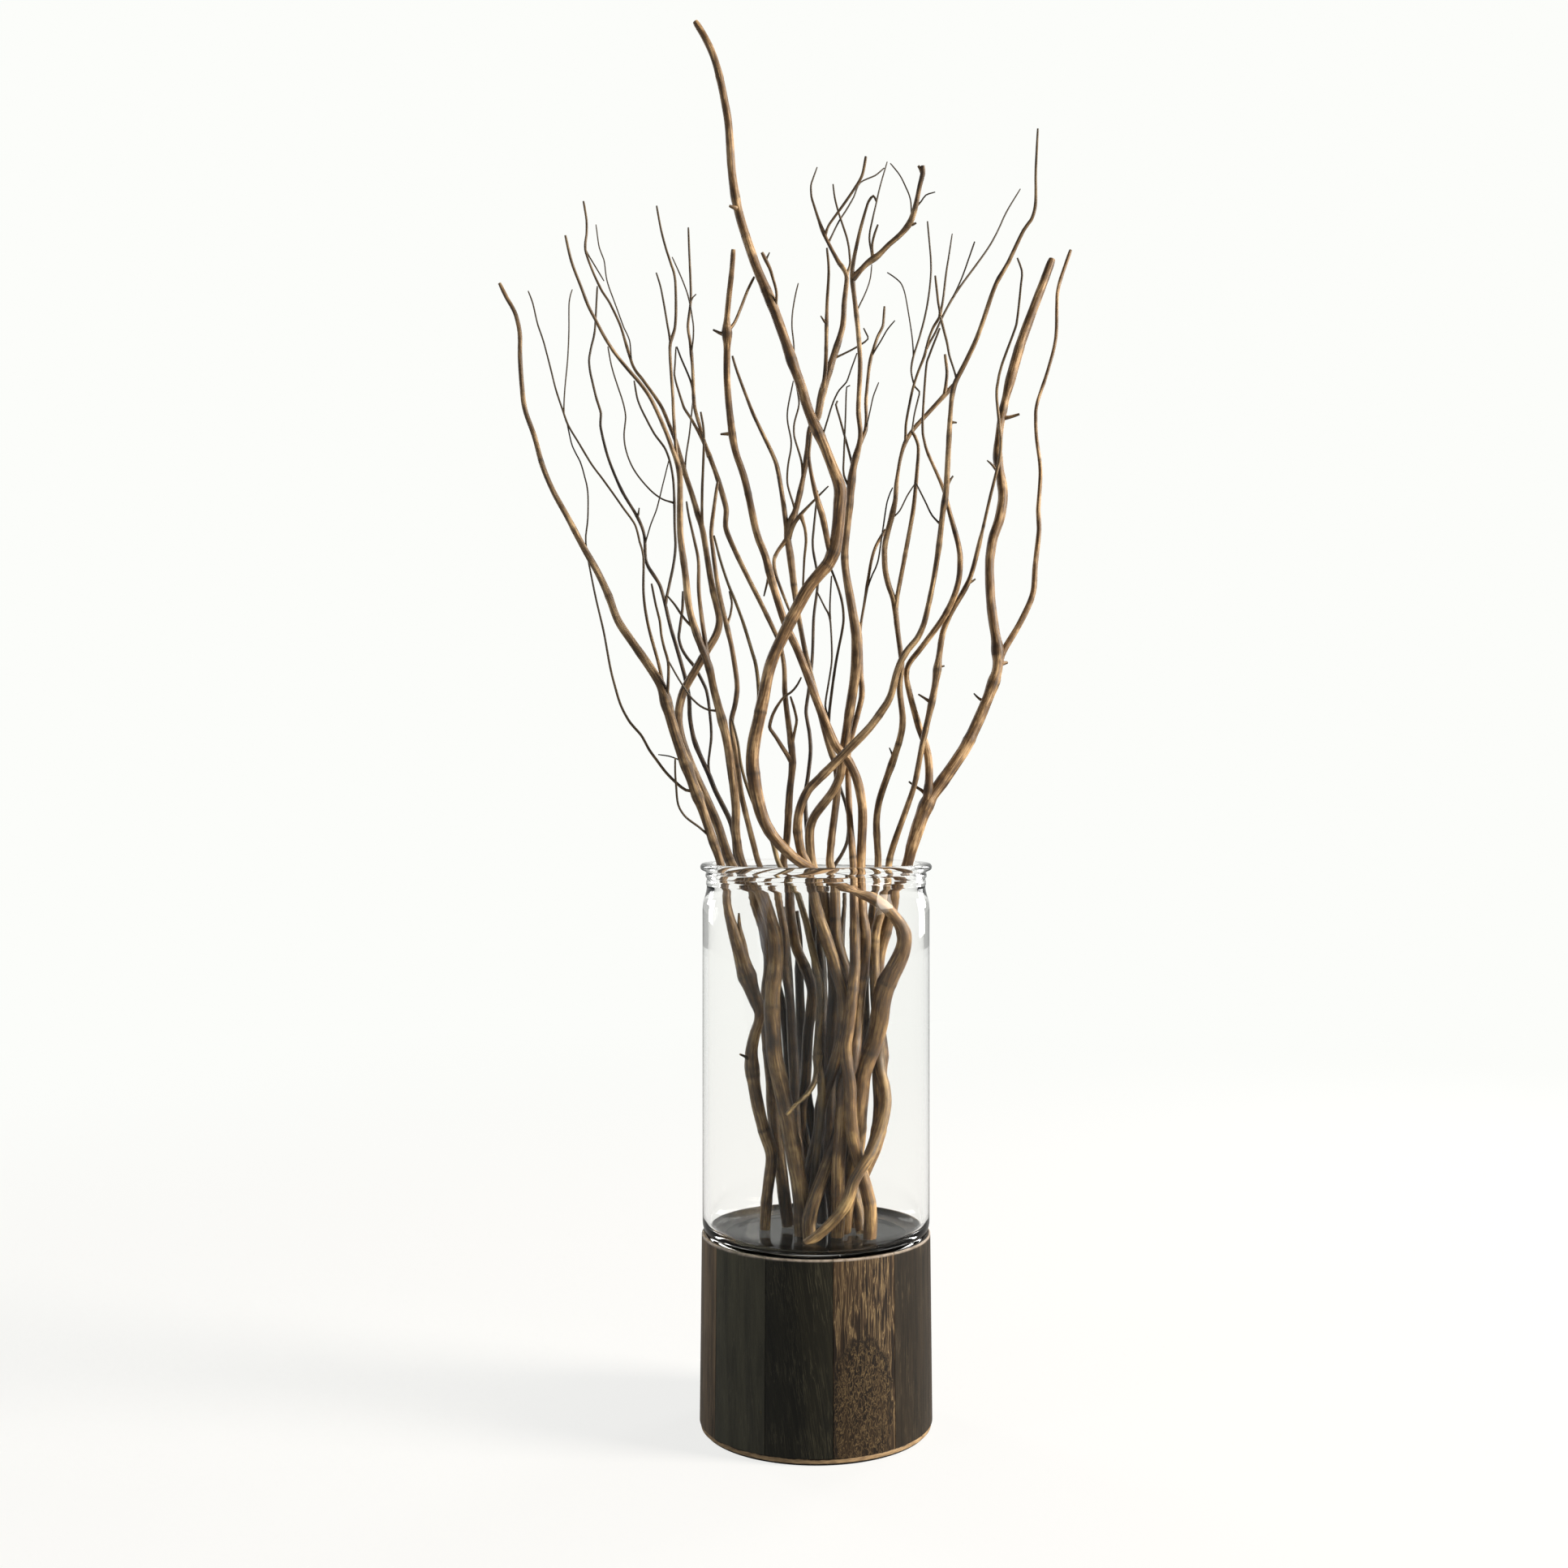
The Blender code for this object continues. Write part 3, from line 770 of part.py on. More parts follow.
def main():
    for item in list(bpy.data.objects):
        bpy.data.objects.remove(item, do_unlink=True)
    materials = {
        "tan": shader("bark_tan", (0.33, 0.22, 0.12), 0.75),
        "light": shader("bark_light", (0.45, 0.33, 0.19), 0.72),
        "brown": shader("bark_brown", (0.22, 0.14, 0.08), 0.76),
        "olive": shader("bark_olive", (0.26, 0.21, 0.11), 0.74),
        "dark": shader("bark_dark", (0.08, 0.06, 0.045), 0.78),
        "stave_black": shader("stave_black", (0.022, 0.021, 0.018), 0.5),
        "stave_green": shader("stave_green", (0.035, 0.036, 0.028), 0.5),
        "stave_dark": shader("stave_dark", (0.035, 0.028, 0.022), 0.5),
        "stave_grey": shader("stave_grey", (0.045, 0.038, 0.03), 0.5),
        "stave_brown": shader("stave_brown", (0.07, 0.045, 0.028), 0.5),
        "stave_burl": shader("stave_burl", (0.15, 0.085, 0.045), 0.5),
        "recess_black": shader("recess_black", (0.01, 0.01, 0.01), 0.4),
        "board_tan": shader("board_tan", (0.3, 0.19, 0.1), 0.6),
        "felt": shader("felt_dark", (0.02, 0.02, 0.02), 0.95),
        "glass": shader("clear_glass", (0.98, 0.99, 0.98), 0.02, transmission=1.0, ior=1.5),
    }
    build_drum(materials)
    build_vase(materials)
    build_stems(materials)


main()
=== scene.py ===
"""Looks of the curly willow arrangement: round barked stems and twigs, the glass cylinder and the stave-built drum.

The stems are drawn from foot to tip as they are seen from the front, in millimetres. So are all the sizes below,
apart from those whose names end in _M, which are in metres. MM turns millimetres into metres when a mesh is made.
Widths are thicknesses, and depths run along y.
"""

import math
from functools import partial

import bmesh
import bpy
import numpy as np
from mathutils import Matrix, Vector


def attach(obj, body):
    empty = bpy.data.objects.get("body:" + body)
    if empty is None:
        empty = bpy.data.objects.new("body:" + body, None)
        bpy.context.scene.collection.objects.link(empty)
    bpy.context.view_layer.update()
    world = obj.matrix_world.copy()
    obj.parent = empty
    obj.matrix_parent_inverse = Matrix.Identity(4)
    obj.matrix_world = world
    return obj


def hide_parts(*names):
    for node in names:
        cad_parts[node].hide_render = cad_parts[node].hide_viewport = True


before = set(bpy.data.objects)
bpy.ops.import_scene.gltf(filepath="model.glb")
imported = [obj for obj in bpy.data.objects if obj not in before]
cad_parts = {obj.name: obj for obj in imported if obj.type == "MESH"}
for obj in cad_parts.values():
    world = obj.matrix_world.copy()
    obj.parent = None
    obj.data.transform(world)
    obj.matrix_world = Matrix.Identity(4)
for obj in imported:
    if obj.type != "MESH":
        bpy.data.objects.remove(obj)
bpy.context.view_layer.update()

MM = 0.001
SEAT_GAP = 0.3

# Drum of staves
STAVES = 11
STAVE_START_DEG = -24.7
DRUM_FOOT_R = 75.0
DRUM_TOP_R = 73.7
DRUM_TOP_Z = 125.0
DRUM_CORE_R = 60.0
RIM_WALL = 2.5
RECESS_DEPTH = 8.0
TOP_CHAMFER = 0.7
EDGE_ROUND = 0.35
DECK_THICK = 9.0
FELT_R = 72.5
FELT_THICK = 1.2
BOARD_R = 74.2
BOARD_THICK = 3.0
STAVE_STEPS = 14
STAVE_EDGE_DEG = 25
ROUND_STEPS = 154

# Glass vase
GLASS_R = 73.2
GLASS_WALL = 3.5
GLASS_FLOOR_R = 54.0
GLASS_FLOOR = 8.5
HEEL_Z = 133.0
INNER_HEEL_R = 12
INNER_HEEL_HIGH = 10
WALL_LOW_Z = HEEL_Z + 60
SHOULDER_Z = 335.0
WALL_HIGH_Z = SHOULDER_Z - 40
NECK_R = 70.5
NECK_Z = 347.0
NECK_INNER_R = 67.2
RING_HEIGHTS = (350.0, 354.8)
RING_PROUD = (0.4, 0.9)
RING_HALF_HIGH = 1.6
LIP_Z = 360.2
LIP_HIGH = 4.7
LIP_OUTER_R = 74.7
VASE_STEPS = 320

# The eye that the front drawing is made for, and the camera that stands in its place
EYE_DISTANCE = 1180.0
EYE_HEIGHT = 413.5
LENS = 41.93
SENSOR = 36.0
PHOTO_SIDE = 1932
AXIS_PIXEL = 1005.5

# How the drawn lines are eased apart, as in the solids
SAMPLE_STEP = 5.0
STEM_CLEARANCE = 1.9
WALL_CLEARANCE = 1.6
LIP_CLEAR = 14.0
OPEN_AIR_R = 1000.0
THINNEST = 0.9
FOOT_BLEND = 40.0
EASE_STEPS = 1000
SMOOTH_STEPS = 850
PUSH_SHARE = 0.5
SMOOTH_SHARE = 0.25
CROSSING_REACH = 6
VASE_GIRTH = 1.4
GIRTH_HEIGHTS = (318.0, 358.0)
SEED = 11

# Bark relief
FINE_STEP = 2.4
BARK_RESOLUTION = 3
COLLAR_SWELL = 0.16
COLLAR_SPREAD = 5.0
COLLAR_MARK = 0.55
COLLAR_MARK_SPREAD = 2.0
BUD_SPACING = 46.0
BUD_STRAY = 9
BUD_SWELL = 0.08
BUD_SPREAD = 2.2
BUD_MARK_SPREAD = 0.9
BUD_WIDTH = 2.2
ROOT_FLARE = 0.45
ROOT_REACH = 1.6
ROOT_LEAST = 2.0
TIP_ROUNDING = (0.96, 0.82)
LUMP = 0.045
LUMP_WAVES = ((8.3, 1, 1.0), (21.0, -1, 1.0), (3.7, 2, 0.7))
BARK_EDGE_DEG = 62
PATTERN_SHIFT = 70.0
SLIM_WIDTH = 1.2
STOUT_WIDTH = 2.5

# The heights over which the painted shade on the bark inside the glass changes, and from where to where the painted
# shade in the heart of the bunch deepens
GLASS_SHADE_Z_M = (0.14, 0.36)
HEART_SHADE_R_M = (0.036, 0.016)
HEART_SHADE_Z_M = (0.35, 0.29)

# Patterns, as wide as they are drawn
FIBRE_WIDE = 1.3
FIBRE_LONG = 20.0
BLOTCH = 17.0
SPOT = 1.1
SPOT_SPACING = 5.5
STAIN_Z = 5.0
GLASS_IOR = 1.2

SEAT_Z = DRUM_TOP_Z - RECESS_DEPTH
GLASS_BOTTOM_Z = SEAT_Z + SEAT_GAP
GLASS_FLOOR_Z = GLASS_BOTTOM_Z + GLASS_FLOOR
FOOT_Z = GLASS_FLOOR_Z + SEAT_GAP

# Barks: shaded, usual and pale tone
BARKS = {
    "tan": ("413121", "785e3f", "cbac80"),
    "light": ("46321f", "755837", "cfac7e"),
    "brown": ("3d2f20", "7d6243", "c8ab80"),
    "olive": ("3f3523", "7a6642", "b39c70"),
    "dark": ("1d1610", "3c2f22", "735d44"),
}
# Stained wood: base, band and scratch tone, share of scratches, lean of the grain, and where its pattern starts
STAINS = {
    "black": ("14140d", "28261a", "504c3b", 0.75, 0.14, 0.7),
    "green": ("35342a", "4f4d3d", "625e4c", 0.45, 0.03, 1.4),
    "dark": ("1d1812", "2f261c", "524533", 0.6, -0.08, 2.1),
    "grey": ("1c1812", "31291f", "564b3a", 0.6, 0.0, 2.8),
    "brown": ("423729", "806b52", "927c60", 0.5, 0.0, 3.5),
}
# Woods of the staves, from the one left of the front centre round towards the right
STAVE_TONES = ("black", "burl", "grey", "dark", "brown", "black", "grey", "burl", "dark", "brown", "green")

# The figured stave's knot; its rim and its seam are shares of its size
KNOT_X = 28.0
KNOT_Z = 44.0
KNOT_HALF_WIDE = 19.0
KNOT_HIGH = 34.0
KNOT_RIM = (1.26, 1.12)
SEAM_AT = 1.15
SEAM_HALF = 0.11

# Studio
FLOOR_HALF_M = 6.0
FLOOR_FADE_M = (0.35, 2.0)
FLOOR_NEAR = "707070"
FLOOR_GLOW = "e6e6e4"
SURROUND = "fcfdfa"
FILL = 0.14
MIRRORED_FRONT = 0.05
MIRRORED_BACK = 0.55
BOUNCE = 0.25

# The drawing of each stem as it is seen from the front. Its own line comes first, then a twig after each bar. The
# stem's three fields are its route (x z ...), its widths (z width ...) and its depths (z y ...). A twig's are its
# route, its widths from root to tip and its lean, which is how far it moves back for each 100 mm of its length.
STEMS = []


def numbers(text):
    """The numbers of a text that has spaces between them."""
    return [float(word) for word in text.split()]


def pairs(values):
    """The values two by two."""
    return list(zip(values[::2], values[1::2]))


def stem(name, bark, drawing):
    """Reads a stem's drawing, in which strokes part the fields."""
    own, *twigs = ([numbers(field) for field in line.split("/")] for line in drawing.split("|"))
    route, widths, depths = map(pairs, own)
    twigs = [(pairs(line), thick, lean) for line, thick, (lean,) in twigs]
    STEMS.append(("stem_" + name, bark, route, widths, depths, twigs))


stem("outer_left", "tan", """
-33 126 -32 145 -30.5 158 -29 174 -33 188 -36.5 201 -39 213 -41 228 -41.5 242 -39 254 -36.5 265 -41 279 -46 294
-50 308 -54 322 -57.5 336 -59.5 350 -62 363 -67 378 -72 393 -78 409 -83 423 -88 437 -92.5 451 -96.5 465 -100 477
-108 490 -118 504 -128 519 -134 535 -141 550 -150 566 -160 585 -170 603 -177 620 -182 638 -188 655 -190 670 -191.3 690
-191.5 705 -194.5 718 -199.5 727 -204.5 737
/ 126 5 228 6 242 6 265 4.6 294 8 336 4.6 365 5 423 7 470 6.5 505 5.4 550 4.6 600 3.6 690 3 737 2.6
/ 126 0 200 -8 265 -14 330 -6 365 0 450 -6 550 -14 650 -10 740 0
| -44 296 -47 310 -49.3 321 -49.8 331 / 5 3 1.2 / 20
| -42 235 -45 237 -49 239 / 1.6 1.1 / -20
| -98 473 -101 488 -105 503 -107.5 512 -110 524 -111.5 538 -111.5 560 -114 570 -117 581 -124 591 -131 601 -139 612
-145 620 -154 635 -160 645 -163 653 -168 668 -171 680 -176 699 -180 711 -183 724 -186 732 / 2.4 1.5 1.3 1 / 22
| -162 652 -162.7 662 -162 672 -160.5 688 -159.7 705 -159.5 725 -157.5 733 / 1 0.9 / 20
| -96 466 -95.5 480 -95.5 492 -98 501 -100 510 -101 519 -103.5 529 -106.3 543 / 2.2 1.5 / -24
| -78 409 -84 409.5 -90 414 -97 421 -103 429 -108 436 -113 445 -120 453 -126 464 -130 477 -133 489 -137 511 -140 524
-143 537 -147.5 560 -148.8 572 -147.5 585 -147.5 602 -149.5 612 -152.5 622 -157.5 632 -161.2 648 / 2 1.6 1.2 0.9 / 14
| -66 376 -76 386 -84 392 -89 400 -90.3 411 -91 421 -91 430 / 1.6 1.3 / -25
| -85 428 -95 431.5 -102 432.5 / 1 0.9 / 15""")

stem("left_curved", "brown", """
-18 126 -20.5 145 -22 160 -24 175 -26.5 190 -28 205 -28.5 220 -30 235 -31.5 250 -32 265 -31.5 280 -30 295 -30.5 310
-34 325 -40 338 -48 350 -55 362 -59 373 -64 388 -69.5 401 -75 413 -80 424 -84 434 -87.5 445 -89 455 -88 465 -85 475
-79 485.5 -74 494 -69 502 -64.5 510 -62.5 518 -63.5 526 -66 536 -68 546 -71.5 567 -73.5 578 -76.5 588 -80 600 -86 618
-88 626 -91 636 -95 646 -99.5 656.5 -105 665 -113 676 -118 683 -123.5 700 -127 711 -134 725.5 -138 731.5 -144 744
-149 758.5 -148.3 768 -148.3 778 -150.3 790
/ 126 6 300 6 362 6.2 450 5.5 500 5 540 4 600 3.6 640 2.5 700 1.7 790 1.5
/ 126 8 220 4 300 12 365 20 450 32 550 46 650 60 790 85
| -119.5 689 -120.5 700 -124 708 -129.5 723 -135 738.5 -137 752 -140 760 -142.2 775 / 1 0.9 / -18
| -148.5 757.5 -143 748.5 -137 738.5 / 1 0.9 / 14
| -85 616 -84 625 -82 638 -81 647 -79.5 662 / 1.3 1.1 / 20
| -73.5 577 -73.7 590 -73.5 605 -73 618 -72.5 640 -74.5 654 / 2 1.5 / -16""")

stem("left_leader", "tan", """
-9 122 -9 137 -10 150 -12.5 165 -15 180 -17.5 194 -20.5 208 -23.5 222 -26.5 237 -27.5 250 -28.5 265 -28 280 -26 295
-26 310 -29 325 -34 338 -42 350 -48 362 -51 374 -52 386 -51.7 396 -52.5 406 -55.5 428 -57.5 441 -60 452 -66 474
-68 484 -70.5 493 -77 510 -82 527 -84.5 550 -87.5 572 -88 585 -88 612 -90 622 -93 630 -97 641 -106 661 -113 671.5
-122 682 -130 692 -137 703 -142.5 713.5 -147 722 -152 735 -158 751 -162 768
/ 122 8 300 7.5 362 5.8 450 5.5 500 4.6 550 4.5 600 4 640 2.8 700 2.2 768 1.8
/ 122 -16 200 -22 290 -20 365 -22 450 -34 550 -50 650 -64 770 -84
| -89 617 -90.5 630 -92 652 -92.6 665 -94.3 690 -94 699 -91.7 706 -90.6 716 -91 739 -93.2 748 -96.5 758 -100 771
-103 787 / 2.4 2 1.4 / 12
| -94 699 -96 710 -98 722 -100.5 735 -103.3 744 / 1.5 1.2 / -20
| -70.5 494 -72 508 -73.5 518 -75.7 538 -76 557 -78 568 -82.3 587 -83.7 596 / 3.4 2.4 1.4 / 16
| -62 459 -70 461.5 -75 464 -80 468.5 -85 475.5 -90 483.5 -95 492.5 / 1.5 1.2 / -22
| -78 513 -83 518 -87 523 -91 529 -96 535 / 1.9 1.3 / -15""")

stem("dark_slender", "dark", """
-6 126 -6 140 -8 160 -11 180 -15 205 -18 230 -20 255 -24 280 -32 305 -36 325 -44 345 -51 362 -53 380 -56 391 -65 409
-69 419 -77 437 -80 447 -81.7 458 -82 468 -84 480 -89 498 -94 515 -97.5 530 -101 542 -106 550 -110 558 -111 574
-115.5 586 -125 602 -132 618 -136 630 -139.3 645 -139 653 -142 663 -146 680 -146.7 687 -145 697 -143 706 -141.7 728
-141.3 735
/ 126 4 362 3.6 450 2.8 540 2.2 640 1.7 735 1.3
/ 126 14 220 20 300 28 365 36 450 54 550 76 650 98 735 112
| -98 532 -94 546 -92 556 -90.8 567 -91.3 580 -91.5 595 -92.3 610 -94.5 622 -98 631 -104 639 -110 650 -115 661
-117.5 674 / 2 1.7 1.3 / 14
| -91.4 592.5 -98 597 -105 601.5 -113 610 -119 619 -123 630 -124 640 -123 651 -125 661 -128 670 -132 683 -134.5 696 /
1.2 1 / 10
| -111 571 -106.5 582 -103 591 -99 607 -95 623 / 1 0.9 / -18
| -69.5 420 -69.5 428 -68 440 -67.8 450 -70 470 -72.5 478 -79 490 -83.5 495.5 -87 501.5 -88.7 508 -86.3 527 -86 538 /
1.5 2.2 1.8 / 12
| -115.5 585 -114.8 588 -114.3 592 / 1.3 1 / -20""")

stem("slim_left", "brown", """
-9 126 -9 158 -11 175 -13 195 -14 215 -16 255 -17 275 -20 295 -20 310 -21.5 325 -25 338 -31 350 -37 362 -40 373
-46.5 399 -49 411 -52 434 -54 446 -54.7 455 -52.8 463 -51.3 472 -51.3 481 -54.3 501 -59 521 -63.7 543 -67 567
-67.7 577 -66.5 588 -64 606 -63.5 609
/ 126 4.6 362 3.8 480 3.3 540 3 590 2.6 609 2
/ 126 20 220 16 300 6 365 8 450 10 609 10
| -58 516 -55.3 523 -54.3 530 -56 538 / 1.8 1.4 / 25""")

stem("hooked", "olive", """
-3 124 -3 140 -1.5 155 0 172 2 190 3.5 205 3 222 1 238 1.5 252 2.5 266 2.7 278 1.5 290 -4 314 -7 327 -11 338 -17 350
-24 362 -28 376 -34 392 -38 410 -40 430 -39 450 -37 470 -38.5 488 -41 498 -47 517.5 -53 533.5 -56.5 542 -61.5 557
-66 574
/ 124 4 362 3.4 430 3 500 2.4 574 1.6
/ 124 -6 172 -20 220 -38 300 -34 365 -30 410 -22 450 -14 574 -5
| 1 240 0.5 228 -1.5 220 -6 213 -12.5 207 -19 200 / 3.4 2.6 1.7 / -12
| -35 394 -38 397 -41.5 404 -46.5 418 -49 429 -50.5 440 -54.5 456 / 3 2 1.3 / -10""")

stem("mid_left", "brown", """
-6 126 -6 138 -7.5 150 -9.5 180 -10 195 -9 208 -7 222 -5.5 250 -3.5 266 -2.5 280 -5.5 291 -9.5 301 -13.5 312 -17.5 338
-18 350 -21 362 -19 378 -17 408 -15.5 422 -15.5 434 -19 462 -20.3 475 -20.5 487 -22 498 -25 508 -35 529 -45 549
-55 570 -58.5 580 -58 590 -60 599 -65 615 -73 635 -81 650 -85 656 -90.5 673 -91.5 678 -91 686 -90.5 696
/ 126 5.5 362 5 400 5 450 4 500 3 560 3.4 600 3.8 640 2.2 696 1
/ 126 26 220 32 300 28 365 32 450 30 560 36 640 48 770 70
| -69 626 -73 637 -75.5 646 -78 655 -79 663 -79.8 682 -81.5 700 -82.8 709 -81.2 723 -80.9 732 -82 760 -82.5 773 / 2.6
2 1.3 / 14
| -80.5 691 -79.3 702 -79.2 709 -81.5 724 -84 733 -88 743 -93 754 / 1.1 0.9 / -16
| -79.2 664 -80.5 672 -83.5 680 -87 688 -90 696 / 1.5 1.2 / 22
| -81 725 -79.5 728 -77.5 730 / 1.1 0.9 / 10
| -16 427 -21 436 -26 444 -30 450.5 -28.5 457 -25 464 -21 469.5 -16 473 -12.5 477 -9.5 482.5 / 3 2.2 1.3 / -22
| -16 437 -12.5 455 -14 462 -16.5 470 / 2.2 1.6 / -25""")

stem("front_loop", "light", """
18 124 19 138 21 150 24 165 26.5 180 27.5 198 28.5 212 30 226 33.5 238 37.5 249 40.5 262 42.5 275 45.5 285 50 294
54.5 304 56.5 314 54 323 47 332 38 338 27 342.5 16 348 6 353.5 -4 359 -12 364 -20 371 -28 380 -34 391 -38 405 -41 425
-40 440 -37 455 -34 470 -31 485 -27 497 -20 512 -13 526 -5 540 3 550 8 556 12 566 14 578 15 590 15.5 604 11 617
7.5 626 3.5 636 -4.5 654 -10.5 673 -14.5 684 -18.5 696 -26.5 718 -30 727 -35 739 -39.5 750 -47 772 -51.5 790 -54.5 810
-56 832 -57 843 -59 854 -61.5 866 -64.5 878 -68 888 -73 898 -78 906
/ 124 7 210 8 238 9 295 9 314 7 334 5.6 364 6.5 405 8.4 425 8.8 485 7.6 526 8 554 8 600 8.4 617 6.6 720 6.4 800 5.4
906 4.5
/ 124 -8 200 -20 262 -30 290 -32 314 -32 332 -44 343 -54 358 -58 380 -58 425 -56 485 -50 526 -46 556 -40 590 -38
645 -40 718 -42 832 -36 906 -24
| -50 784 -52 785.5 -56 787 / 2.6 2 / -15
| -27 719 -25.5 730 -27.5 739 -30 747 -32.5 752 -35 757 / 1.7 2 2.4 / -25
| -32.5 751 -31.5 754 -30 757 / 1.2 0.9 / -10
| -14.5 684 -14.3 697 -15.5 708 -15.2 718 -13.4 729 -11.5 737 / 1.1 1 / 24
| 10 560 8 568 6 578 4 587 -1 604 -4.5 623 -4 633 -3.5 641 / 3.6 4.4 2.6 1.3 / -22
| 3 638 7.5 649 11 660 15 668 19.5 673 22.5 681 26.5 692 / 1.3 1 / -18""")

stem("upper_right", "tan", """
-4 124 -4.5 137 -5 153 -3.5 168 1.5 188 2.5 200 4.5 211 12 233 15 244 17 256 18 268 17 279 14 290 10.5 302 2.5 326
-1 338 -4 350 -6 362 -9 368 -11 376 -12 385 -11 395 -8 404 -4 411 1 416 13 428 31 446 37 453 42 460 46 466 49 473
51.5 483 55 493 60 501 65 507 68.5 514 71 522 75.5 543 79 565 82 590 84 602 85.5 630 87 655 88 665 90 673 95 683
100 693 104 702 108 713 114 731 118 740 124 750 134 771 139 778 141.5 786 142 795 142 810 143.3 837
/ 124 5.5 362 6 416 6 460 5.6 500 4.6 550 3.5 620 4 660 3 690 3.3 760 2.8 800 1.9 837 1.5
/ 124 -6 170 -12 230 -26 300 -38 350 -42 385 -42 430 -46 470 -46 520 -46 600 -52 700 -62 837 -74
| 79.5 580 75 587 71 595 67 603 64.5 608 / 1.3 1.1 / 16
| 86.5 647 88.5 647.2 91 647 / 1.6 1.2 / -10
| 84.5 607 86.5 609.5 88.5 612.5 / 2 1.4 / -10
| 90 671 90.5 676 88.5 683 86 691 84.8 698 82.5 707 80.5 715 / 1.3 1.6 2 / -12""")

stem("crown", "brown", """
12.5 128 12 140 10 160 9 200 10 240 12 280 11 300 8 320 5 338 1 350 -2.5 362 -4 374 -4 385 -1 393 5 401 11 409
15.5 419 17 430 21 455 25 482 26 496 26 510 24 522 19.5 548 18.5 560 19 570 21.5 594 24 617 28.5 637 27.3 655 28.3 677
28.3 690 26.5 713 23.5 740 24 750 27 765 30 777 34 790 37 793.5 39 790
/ 128 7 400 6 450 6 510 7 560 5 600 5 620 5 645 3.2 740 3 765 2.4 793 1.6
/ 128 10 200 14 300 10 365 14 400 4 450 -10 500 -14 560 -16 620 -20 700 -26 813 -40
| 24 742 33 750 40 755 47 762 54 768 60 775 63 782 65 790 67 800 69 808 69 813 / 3.4 3.4 2.8 / -14
| 62 780 61 791 58 799 54 807 48 814.5 / 1.1 0.9 / 20
| 65.5 786 68 790 71 794 77 796 / 1.1 0.9 / -15
| 61 774 62.5 775 64.8 776 / 1.8 1.4 / -10
| 68.5 808 67.5 811 66 813 / 2.2 1.8 / -10
| 36 752 36.3 762 38 769.5 40 775 / 1.9 1.5 / -25
| 35.5 752 34.5 766 36 776 38.5 787 41.5 800 46 815.5 / 1.5 0.9 / 22
| 26.5 720 32 731 35 740 36 749 / 1 0.9 / 22
| 28 634 32 642 32.5 652 32.3 662 34.5 684 37 694 40 703 43 709 44.2 722 / 2.4 2.2 1.7 / 18
| 32.5 643 35 655 37 664 40.5 673 / 1 0.9 / -20
| 36 688 42 700 46 707 51 713 / 1.1 0.9 / -20
| 24.5 617 20.5 631 15 651 12.8 658.5 13.8 661 / 1.8 1.4 / 16
| 19 606 18 613 18 626 19 650 19.8 670 22 671 / 1.5 1 / -22""")

stem("centre_back", "brown", """
-4 122 -4.5 132 -2 143 2 154 6.5 166 11 178 15 190 17 200 16.5 213 18.5 238 20.5 250 21.5 265 20 290 17 300 14 312
12.5 325 12 350 9 362 10 377 13.5 408 13 425 8 440 -4 486 -8 504 -12.8 531 -17 563 -18.3 572 -17 578 -12 595 -7 618
-5 632 -3.5 643 1 651 3 662 7.5 678 15.5 703 17.5 712 18.3 725 19.7 742 15 750 10 759 3.5 773 -3 793 -3.3 800 0.7 812
/ 122 6.5 300 5.4 450 4.5 500 3.2 550 5 600 3.2 650 5.4 665 5 710 3.6 742 2.8 770 2 812 1
/ 122 -18 154 -20 200 -10 260 2 310 8 365 22 425 26 486 22 541 18 572 18 632 20 665 24 745 44 812 58
| -18 573 -19.5 582 -21 594 -24.5 615 -27.5 625 -37 645 -42 656 -51 680 -54 690 / 3.6 2.8 1.7 / 18
| 19.6 741 22 750 21.5 757 20 766 14.5 783 12 793 11 801 / 1.7 1.2 / 20
| 6 768 8 774 15 784 20 791 26 800 30 807.5 32.2 819 / 1.6 2 / -14
| 8 763 14.5 776.5 19 783.5 24.5 793 28.5 802 38 806.5 44 811.5 / 1.2 1 / 24
| 3.5 665 6 681 6.6 695 7 722 8.2 745 7 760 / 3 2.4 1.6 / -20
| 6.7 708 5 713 3 716 / 1.5 1.1 / 10
| 10.5 687 17 691 23 694 29 697.5 33.5 701 30.7 708 / 1.4 1.1 / 22
| -18.5 572 -14.5 581 -10 587.5 -0.5 597.5 4 602 8 606 / 3.2 2 1.1 / -18
| -10.5 590 -7.3 579 -6.5 570 -7.5 560 -8.5 540 / 2.4 1.8 1.3 / 24
| -18.5 571 -23 566.5 -27 559 -26.5 551 -24 543 -17 525 / 2.8 2.2 1.8 / -16
| -13.5 590 -15.5 597 -18.5 608 -18 620 -16 634 -18.6 652 -14.7 674 / 1.5 1 / -20
| -8 610 -9.5 622 -14.2 639 -13.5 649 -11 659 -12.7 671 / 1.6 1.2 / 18""")

stem("light_short", "light", """
34.5 119 35 136 33.5 146 30.5 158 27.5 170 24.5 182 22.7 194 22 205 22 218 20.5 230 19 243 21 257 24.5 288 25 305
24.5 345 24 362 21.5 395 20.5 425 21.5 437 24 448 29.5 470 29 482 28.2 506 27 518
/ 119 6.2 220 6 300 5 362 4.8 430 3.6 470 3.8 518 3
/ 119 -28 170 -34 205 -38 243 -34 300 -22 345 -10 362 -6 410 -2 450 2 518 6
| 28 506 29.3 519 31 529 34.2 549 36 559 39 568 45 578 / 1.7 2 2.2 / 20
| 33 540 36.5 549 40 557.5 43 577 46 596 49.5 605 / 1.2 1 / -10""")

